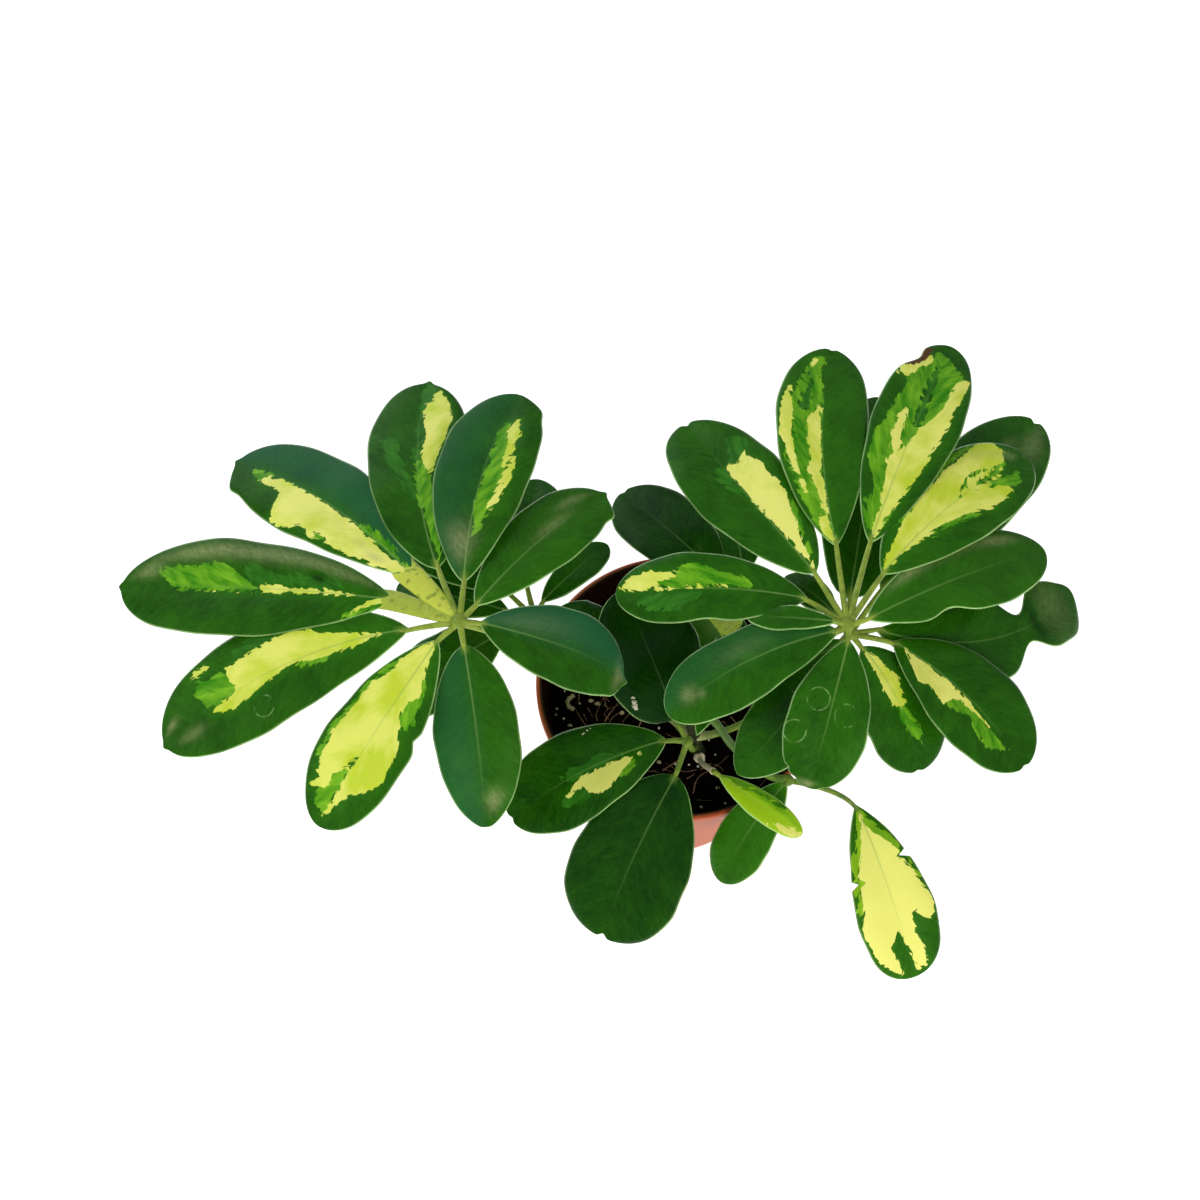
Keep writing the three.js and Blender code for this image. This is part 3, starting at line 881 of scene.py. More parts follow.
        # What the finish reads
        reach, sides = (np.broadcast_to(value, width.shape) for value in (t, side))
        spot = np.full(width.shape, float(seed) * SPOT_STEP)
        ring = np.full(width.shape, FAR_MM)
        for at, off in self.rings:
            ring = np.minimum(ring, np.hypot(x - at * length, y - off * self.half_width(np.array([at]))[0]))
        # Soft patches of painted sheen, or of painted shade where the strength is negative, summed
        film = np.zeros(width.shape)
        for at, off, far, wide, strength in self.painted_lights:
            film += strength * bell(reach, at, far) * bell(sides, off, wide)
        scorch = np.full(width.shape, self.dry)
        if self.scorch:
            ends = (SCORCH_REACH - np.abs(reach - SCORCH_AT)) * length
            scorch = np.minimum(ends, (sides - SCORCH_SIDE) * width) * 0.6 + 0.7
        values = {
            "leaf_mm": np.stack([x, y, spot], axis=-1),
            "vein_mm": np.stack([x - VEIN_SLANT * np.abs(y), y, spot], axis=-1),
            **self.tissue(reach, sides, width, length),
            "film": film,
            # Cream's own tone, partly painted light
            "bleach": np.full(width.shape, self.bleach),
            "edge": np.minimum((1 - size) * width, (1 - reach) * length + 0.3),
            "under": np.broadcast_to((face < 0).astype(float), width.shape),
            "tone": np.full(width.shape, self.tone),
            "scorch": scorch,
            "along": reach,
            "young": self.young * (1 - 0.85 * bell(sides, 0.5, 0.28) * np.sin(np.pi * reach) ** 0.5),
            "ring": ring,
            # Painted reflection of sky light on one half of the leaflet
            "cool": abs(self.cool) * np.clip(0.4 + 1.5 * sides * np.sign(self.cool), 0, 1),
        }
        return rings, values

    def add_specks(self, hub: np.ndarray, dust: Surface, rng: np.random.Generator) -> None:
        """Lays dried specks, rough flat lumps, on the blade.

        Args:
            hub: the leaf's hub.
            dust: gathers the lumps.
            rng: roughens them.
        """
        lump = ball(5, 8, 0.3)
        for at, side, size in self.specks:
            middle, _, across, normal = (value[0] for value in self.axes(hub, np.array([at])))
            half = self.half_width(np.array([at]))[0]
            rise = half * (FOLD * abs(side) - ROUNDING * side**2) + 0.5
            place = middle + across * side * half + normal * rise
            rough = lump * rng.uniform(0.6, 1.3, lump.shape[:2])[..., None] * np.array([1.0, 0.8, 0.4])
            dust.add_rings(rough * size + place)

    def stalk_path(self, hub: np.ndarray) -> tuple[np.ndarray, np.ndarray, np.ndarray]:
        """Lays out the stalk, which runs on under the blade as its midrib.

        The stalk is a cubic curve from the hub over a crown to the blade, and the rib follows the midrib
        just below the blade, thinning to nothing near the tip.

        Args:
            hub: the leaf's hub.

        Returns:
            Middle line, radii and flatness.
        """
        base, tip = self.ends(hub)
        start = hub + unit(base - hub) * 0.8
        crown = base + (hub - base) * 0.25 + UP * self.stalk_rise
        inside = base + unit(tip - base) * 3
        t = np.linspace(0, 1, 14)[:-1, None]
        line = start * (1 - t) ** 3 + crown * 3 * t * (1 - t) ** 2 + base * 3 * t**2 * (1 - t) + inside * t**3
        along = np.linspace(0.05, 0.94, 30)
        middle, _, _, normal = self.axes(hub, along)
        under = middle - normal * (0.3 + 0.25 * (1 - along))[:, None]
        radii = np.concatenate([np.linspace(*STALK_RADII, len(line)), np.linspace(*RIB_RADII, len(under))])
        spread = 1.0 + (self.wing - 1.0) * np.linspace(0, 1, len(line)) ** 0.6
        wide = np.concatenate([spread, np.linspace(self.wing, 1.0, len(under))])
        return np.vstack([line, under]), radii, wide


@dataclass(frozen=True)
class Stem:
    """The main stem: a round bar along a gently leaning line, ringed by leaf scars, with a pointed bud."""

    line: tuple[Point, ...] = (
        (8.5, -27.0, 46.3), (8.5, -27.5, 85.0), (5.0, -29.5, 108.0), (2.5, -29.0, 130.0), (2.0, -27.0, 151.0),
    )
    foot_radius: float = 2.7
    top_radius: float = 2.0
    bud_radius: float = 1.9
    bud_length: float = 7.0
    scars: tuple[float, ...] = (89.0, 93.0, 98.5, 103.0, 106.0, 113.0, 115.0, 125.0, 140.0, 146.0)

    def middle_at(self, height: float) -> np.ndarray:
        """The stem's middle at a height."""
        path = smooth_line(np.array(self.line), 200)
        return np.array([np.interp(height, path[:, 2], path[:, axis]) for axis in range(3)])

    def build(self, bark: Material, skin: Material) -> None:
        """Makes the stem and its bud; the radius swells a little at each scar and narrows upwards.

        Args:
            bark: finish of the stem.
            skin: finish of the bud.
        """
        body, bud, sides = Surface(), Surface(), 28
        path = smooth_line(np.array(self.line), 220)
        height = path[:, 2]
        radii = np.interp(height, [self.line[0][2], self.line[-1][2]], [self.foot_radius, self.top_radius])
        radii = radii + 0.35 * bell(height[:, None], np.array(self.scars), 0.8).max(axis=1)
        rings = tube(path, radii, sides)
        rings[..., :2] += 0.12 * np.sin(rings[..., 2:] * 2.3 + np.arange(sides)[None, :, None] * 1.9)
        body.add_rings(rings)
        settle(body.to_object("stem_bark", bark), "stem", "stem")
        rise = np.linspace(0, 1, 16)
        cone = [np.maximum(self.bud_radius * (1 - rise**1.6), 0.05), rise * self.bud_length - 1.0]
        bud.add_rings(lathe(np.stack(cone, axis=1), 20) + path[-1], woody=0.1, dark=0.4, pale=0.0)
        settle(bud.to_object("stem_bud", skin), "stem", "stem")


@dataclass(frozen=True)
class CompoundLeaf:
    """A compound leaf: petiole from the stem to the hub, and leaflets that spread from it.

    height is where the petiole leaves the stem, and via lists the points it passes. knob is a corky knob
    on it: place and radius. woody colours the petiole tan, and shade darkens petiole, hub and stalks as painted
    shade.
    """

    name: str
    hub: Point
    height: float
    via: tuple[Point, ...]
    leaflets: tuple[Leaflet, ...]
    knob: tuple[float, float, float, float] | None = None
    hub_radius: float = 2.9
    petiole_radius: float = 1.35
    woody: float = 0.0
    shade: float = 0.15

    def centre(self) -> np.ndarray:
        """The hub: a turned knot that bulges towards each stalk, and is drawn in between them.

        Returns:
            Its rings.
        """
        angle = np.linspace(0, np.pi, 15)
        knot = [np.maximum(self.hub_radius * np.sin(angle), 0.02), -0.8 * self.hub_radius * np.cos(angle)]
        rings = lathe(np.stack(knot, axis=1), 28)
        heading = np.arctan2(rings[..., 1], rings[..., 0])
        bulge = np.zeros_like(heading)
        for leaflet in self.leaflets:
            turn = np.angle(np.exp(1j * (heading - math.radians(leaflet.heading + leaflet.swing))))
            bulge = np.maximum(bulge, bell(turn, 0, 0.22))
        rings[..., :2] *= (0.84 + 0.36 * bulge)[..., None]
        return rings + np.array(self.hub)

    def build(self, stem: Stem, cuticle: Material, skin: Material, seed: int, dust: Surface) -> None:
        """Makes the leaf's blades and its stalks as two pieces that stand for its CAD node.

        Args:
            stem: the stem that it grows on.
            cuticle: finish of the blades.
            skin: finish of petiole, hub and ribs.
            seed: sets its patterns apart.
            dust: gathers the specks that lie on its blades.
        """
        hub = np.array(self.hub)
        blades, stalks = Surface(), Surface()
        steps, sides = 64, 14
        path = smooth_line(np.vstack([stem.middle_at(self.height), np.array(self.via), hub]), steps)
        share = np.linspace(0, 1, steps + 1)
        radii = self.petiole_radius * (1 + 0.75 * np.exp(-share * 16) + 0.25 * smoothstep(0.93, 1.0, share))
        woody = np.clip(self.woody * smoothstep(0.0, 0.15, share) + 0.5 * np.exp(-share * 22), 0, 1)
        # Painted shade: the petiole darkens by the leaf's shade, more towards the stem, and the hub too
        stalks.add_rings(tube(path, radii, sides), woody=woody, dark=self.shade + 0.3 * (1 - share), pale=0.0)
        stalks.add_rings(self.centre(), woody=0.0, dark=self.shade + 0.1, pale=0.0)
        if self.knob:
            husk = ball(15, 24, 0.05)
            rough = np.sin(5 * husk[..., 0] + 7 * husk[..., 2]) * np.cos(6 * husk[..., 1] - 4 * husk[..., 2])
            husk = husk * (0.92 + 0.12 * rough)[..., None] * self.knob[3] + np.array(self.knob[:3])
            stalks.add_rings(husk, woody=1.0, dark=0.0, pale=0.0)
        for index, leaflet in enumerate(self.leaflets, seed):
            leaflet.add_specks(hub, dust, np.random.default_rng(index))
            rings, values = leaflet.blade(hub, index)
            blades.add_rings(rings, **values)
            line, width, wide = leaflet.stalk_path(hub)
            # Painted shade on each leaflet's stalk, a little less towards its blade
            shade = np.linspace(self.shade, self.shade - 0.1, len(line))
            stalks.add_rings(tube(line, width, 10, wide), woody=0.0, dark=shade, pale=leaflet.pale)
        settle(blades.to_object(f"{self.name}_blades", cuticle), "leaf", self.name)
        settle(stalks.to_object(f"{self.name}_stalks", skin), "leaf", self.name)


# ---------------------------------------------------------------- pot and root ball


@dataclass(frozen=True)
class Pot:
    """Thin tapered nursery pot with a rolled lip, a stepped foot and eight drain holes."""

    height: float = 100.0
    top_radius: float = 60.0
    foot_radius: float = 44.5
    wall: float = 1.6
    floor: float = 2.4
    lip_width: float = 2.6
    lip_height: float = 4.0
    drain_radius: float = 4.5
    drain_circle: float = 32.0
    drains: int = 8

    def outer(self, height: float) -> float:
        """Outer wall's radius at a height: a straight taper from foot to lip."""
        top = self.top_radius - self.lip_width + self.wall
        return self.foot_radius + (top - self.foot_radius) * height / self.height

    def build(self, plastic: Material) -> None:
        """Makes the shell by turning its profile, then bores the drain holes.

        Args:
            plastic: its finish.
        """
        height, foot, rim = self.height, self.foot_radius, self.top_radius
        lip_foot = height - self.lip_height
        inner_top = self.outer(height) - self.wall
        outside = [(0.05, 0.6), (foot - 7.6, 0.6), (foot - 7.0, 0.0), (foot - 1.2, 0.0), (foot - 0.4, 0.25)]
        outside += [(self.outer(z), z) for z in (1.0, *np.linspace(2, lip_foot - 1.0, 30))]
        roll = [(rim - 1.0, lip_foot - 0.35), (rim - 0.25, lip_foot), (rim, lip_foot + 0.5)]
        roll += [(rim, z) for z in np.linspace(lip_foot + 1.0, height - 1.2, 4)]
        round_over = np.linspace(0, np.pi / 2, 7)[1:]
        roll += [(rim - 1.0 + math.cos(a), height - 1.0 + math.sin(a)) for a in round_over]
        inside = [(inner_top + 0.6, height), (inner_top + 0.15, height - 0.2), (inner_top, height - 0.7)]
        inside += [(self.outer(z) - self.wall, z) for z in np.linspace(height - 2, self.floor + 1.5, 30)]
        inside += [(self.outer(self.floor) - self.wall - 1.2, self.floor), (0.05, self.floor)]
        # The inside faces get the painted shade, with a little soil stain
        shaded_and_stained = np.concatenate([np.zeros(len(outside) + len(roll)), np.ones(len(inside))])
        shell, bores = Surface(), Surface()
        shell.add_rings(lathe(np.array(outside + roll + inside), 192), inside=shaded_and_stained)
        bore = np.array([(0.02, -3.0), (self.drain_radius, -3.0), (self.drain_radius, 5.0), (0.02, 5.0)])
        for index in range(self.drains):
            spot = flat_direction(360 * index / self.drains) * self.drain_circle
            bores.add_rings(lathe(bore, 32) + spot, inside=0.0)
        pot, cutter = shell.to_object("pot_shell", plastic), bores.to_object("bores", plastic)
        cut = pot.modifiers.new("drains", "BOOLEAN")
        cut.operation, cut.object, cut.solver = "DIFFERENCE", cutter, "EXACT"
        bored = bpy.data.meshes.new_from_object(pot.evaluated_get(bpy.context.evaluated_depsgraph_get()))
        pot.modifiers.clear()
        pot.data = bored
        bpy.data.objects.remove(cutter)
        settle(pot, "pot", "pot")


@dataclass(frozen=True)
class RootBall:
    """Peat compost: a crumbly top with lumps, fine roots, perlite grains and chips of husk.

    The placed roots, grains, chips and the curl of husk lie where they show between the leaves.
    """

    level: float = 85.0
    radius: float = 57.0
    crumb_count: int = 900
    crumb_reach: float = 55.5
    root_count: int = 70
    root_limit: float = 54.0
    litter_reach: float = 52.0
    placed_roots: tuple[tuple[tuple[float, float], ...], ...] = (
        ((-37.4, 1.9), (-33.1, 0.6), (-29.1, -2.8)), ((-31.0, -12.5), (-27.8, -7.4), (-24.8, -1.0)),
        ((-29.1, -12.8), (-26.2, -9.7), (-23.8, -7.4)), ((-31.5, -4.5), (-28.3, -6.5)),
        ((-38.4, -6.2), (-36.3, -9.7)), ((-40.0, -9.1), (-38.7, -11.7)), ((3.1, -37.7), (6.4, -35.5)),
        ((5.2, -44.8), (7.5, -38.0), (12.7, -34.6), (20.8, -28.3)), ((19.2, -11.3), (21.8, -13.6)),
        ((22.9, -9.3), (25.2, -12.6)), ((6.9, -47.3), (13.4, -46.7)),
    )
    placed_perlite: tuple[tuple[float, float], ...] = (
        (-51.5, -6.5), (-52.0, -9.2), (-48.6, -11.3), (-48.4, 2.0), (13.0, -20.5), (15.3, -27.4),
        (4.2, -31.5), (7.9, -32.5), (-1.6, -31.0), (8.6, -50.0), (-8.1, -15.5),
    )
    placed_husk: tuple[tuple[float, float], ...] = (
        (-42.5, 1.7), (-40.9, 1.7), (-45.8, -14.2), (-34.2, -4.2), (-36.8, -3.3),
    )
    husk_curl: tuple[Point, ...] = (
        (-44.4, -0.7, 86.4), (-46.8, -3.3, 86.8), (-46.5, -5.9, 86.6), (-44.0, -7.4, 86.2),
    )

    def relief(self, x: np.ndarray, y: np.ndarray) -> np.ndarray:
        """Height of the compost: broad swells, plus lumps 12, 5 and 2 mm across from lattice noise.

        Args:
            x, y: places in millimetres.

        Returns:
            Heights in millimetres.
        """
        broad = 1.1 * (np.sin(x * 0.31 + 1) * np.cos(y * 0.27) + 0.5 * np.sin(x * 0.11 - y * 0.16))
        layers = ((2.2, 12, 1), (2.0, 5, 2), (1.1, 2.0, 3))
        lumps = sum(high * lattice_noise(x, y, cell, seed) for high, cell, seed in layers)
        edge = np.sqrt(x**2 + y**2)
        return self.level + (broad + lumps) * smoothstep(self.radius, self.radius - 3, edge) - 0.4

    def build(self, peat: Material) -> None:
        """Makes the ball: up the side from the pot's floor, then in over the top in rings.

        Args:
            peat: its finish.
        """
        sides = 300
        low = np.array([(0.05, 2.8), (44.0, 2.8), (49.0, 40.0), (self.radius - 0.6, self.level - 2.0)])
        reach = np.linspace(self.radius - 0.3, 0.3, 92)
        top = lathe(np.stack([reach, np.zeros_like(reach)], axis=1), sides)
        top[..., 2] = self.relief(top[..., 0], top[..., 1])
        body = Surface()
        body.add_rings(np.vstack([lathe(low, sides), top]))
        settle(body.to_object("soil_ball", peat), "soil", "soil")

    def crumbs(self, peat: Material) -> None:
        """Scatters crumbs: small bodies of five rings of seven points, each pushed about at random.

        Args:
            peat: their finish.
        """
        rng = np.random.default_rng(7)
        heap, count, lump = Surface(), self.crumb_count, ball(5, 7, 0.35)
        turn, out = rng.uniform(0, TURN, count), self.crumb_reach * np.sqrt(rng.uniform(0, 1, count))
        x, y = out * np.cos(turn), out * np.sin(turn)
        z = self.relief(x, y)
        size = 0.5 + 1.3 * rng.uniform(0, 1, count) ** 3
        places = np.stack([x, y, z + 0.2 * size], axis=1)
        for place, scale in zip(places, size):
            rough = lump * rng.uniform(0.65, 1.25, lump.shape[:2])[..., None] * rng.uniform(0.7, 1.2, 3)
            heap.add_rings(rough * scale + place)
        settle(heap.to_object("soil_crumbs", peat), "soil")

    def roots(self, fibre: Material) -> None:
        """Lays roots: thin tubes that wander over the crumbs, some of them at measured places.

        Args:
            fibre: their finish.
        """
        rng = np.random.default_rng(11)
        mat, steps = Surface(), 26
        lines = [np.array(line, float) for line in self.placed_roots]
        for _ in range(self.root_count):
            turn, out = rng.uniform(0, TURN), self.litter_reach * math.sqrt(rng.uniform(0, 1))
            heading = rng.uniform(0, TURN)
            knots = [np.array([out * math.cos(turn), out * math.sin(turn)])]
            for _ in range(4):
                heading += rng.normal(0, 0.5)
                step = knots[-1] + rng.uniform(2, 5) * np.array([math.cos(heading), math.sin(heading)])
                knots.append(step * min(1.0, self.root_limit / max(np.linalg.norm(step), 1)))
            lines.append(np.array(knots))
        for line in lines:
            path = smooth_line(np.column_stack([line, np.zeros(len(line))]), steps)
            path[:, 2] = self.relief(path[:, 0], path[:, 1]) + 0.45 + 0.35 * np.sin(np.linspace(0, 6, steps + 1))
            thick = rng.uniform(0.16, 0.36)
            mat.add_rings(tube(path, thick * (1.1 - 0.7 * np.linspace(0, 1, steps + 1)), 6))
        settle(mat.to_object("soil_roots", fibre), "soil")

    def chips(self, perlite: Material, husk: Material) -> None:
        """Drops white perlite grains and tan flakes of husk, among them one curled flake.

        Args:
            perlite: finish of the grains.
            husk: finish of the flakes.
        """
        rng = np.random.default_rng(5)
        lump = ball(6, 9, 0.3)
        spots = [list(self.placed_perlite), list(self.placed_husk)]
        for places, more in zip(spots, (8, 22)):
            turn, out = rng.uniform(0, TURN, more), self.litter_reach * np.sqrt(rng.uniform(0, 1, more))
            places.extend(zip(out * np.cos(turn), out * np.sin(turn)))
        grains = Surface(), Surface()
        for heap, places, stretch in zip(grains, spots, (np.array([0.62] * 3), np.array([1.0, 0.7, 0.45]) * 1.3)):
            for x, y in places:
                z = float(self.relief(np.array(float(x)), np.array(float(y))))
                rough = lump * rng.uniform(0.7, 1.2, lump.shape[:2])[..., None]
                heap.add_rings(rough * stretch * rng.uniform(0.7, 1.3) + np.array([x, y, z + 0.6]))
        curl = smooth_line(np.array(self.husk_curl), 18)
        grains[1].add_rings(tube(curl, 0.95 + 0.2 * np.sin(np.arange(len(curl)) * 1.7), 10))
        settle(grains[0].to_object("soil_perlite", perlite), "soil")
        settle(grains[1].to_object("soil_husk", husk), "soil")


# ---------------------------------------------------------------- studio

PLANT_MIDDLE = np.array([0.0, 0.0, 0.12])  # what every lamp faces, in metres


@dataclass(frozen=True)
class Lamp:
    """A square soft light that faces the plant: place and side in metres, power in watts, sRGB hex colour."""

    name: str
    place: Point
    side: float
    watts: float
    colour: str
    mirrored: bool = False

    def hang(self) -> None:
        """Hangs the lamp; only a mirrored one shows as a reflection, besides lighting the plant."""
        data = bpy.data.lights.new(self.name, "AREA")
        data.size, data.energy, data.color = self.side, self.watts, to_linear(self.colour)[:3]
        lamp = bpy.data.objects.new(self.name, data)
        lamp.location = self.place
        lamp.visible_glossy = self.mirrored
        aim = PLANT_MIDDLE - np.array(self.place)
        tilt, turn = math.acos(-aim[2] / np.linalg.norm(aim)), math.atan2(aim[1], aim[0])
        lamp.rotation_euler = (tilt, 0.0, turn - math.pi / 2)
        bpy.context.scene.collection.objects.link(lamp)


@dataclass(frozen=True)
class Studio:
    """Pale floor, soft lights and the camera above and in front of the plant.

    eye, lens and the sensor's width are in millimetres, clip in metres, and tilt in degrees from straight down.
    """

    eye: Point = (-33.1, -207.3, 573.7)
    tilt: float = 27.4
    lens: float = 36.9
    sensor: float = 36.0
    clip: tuple[float, float] = (0.01, 20.0)
    floor_half_side: float = 3.0
    floor_height: float = -0.0003
    lamps: tuple[Lamp, ...] = (
        Lamp("window_back", (-0.7, 1.1, 0.7), 0.9, 6.8, "#E8F1FF"),
        Lamp("window_sheen", (-0.7, 1.1, 0.75), 1.1, 1.8, "#F4F8FF", mirrored=True),
        Lamp("soft_front", (0.35, -1.0, 0.75), 0.9, 11.0, "#FFF8F0"),
        Lamp("soft_left", (-1.1, -0.2, 0.9), 0.7, 5.5, "#FFFFFF"),
    )

    def camera(self) -> None:
        """Places the camera."""
        data = bpy.data.cameras.new("camera")
        data.lens, data.sensor_width = self.lens, self.sensor
        data.clip_start, data.clip_end = self.clip
        camera = bpy.data.objects.new("camera", data)
        camera.location = [value * MM for value in self.eye]
        camera.rotation_euler = (math.radians(self.tilt), 0.0, 0.0)
        bpy.context.scene.collection.objects.link(camera)
        bpy.context.scene.camera = camera

    def floor(self) -> None:
        """Lays the floor."""
        out, z = self.floor_half_side, self.floor_height
        mesh = bpy.data.meshes.new("floor")
        mesh.from_pydata([(-out, -out, z), (out, -out, z), (out, out, z), (-out, out, z)], [], [(0, 1, 2, 3)])
        mesh.materials.append(MattPaper().build())
        floor = bpy.data.objects.new("floor", mesh)
        bpy.context.scene.collection.objects.link(floor)

    def build(self) -> None:
        """Makes floor, world, lamps and camera."""
        self.floor()
        world = bpy.data.worlds.new("studio")
        world.use_nodes = True
        background = world.node_tree.nodes["Background"].inputs
        background[0].default_value, background[1].default_value = to_linear("#F2F6FF"), 0.3
        bpy.context.scene.world = world
        for lamp in self.lamps:
            lamp.hang()
        bpy.context.scene.view_settings.view_transform = "Standard"
        self.camera()


# ---------------------------------------------------------------- the plant's own leaves

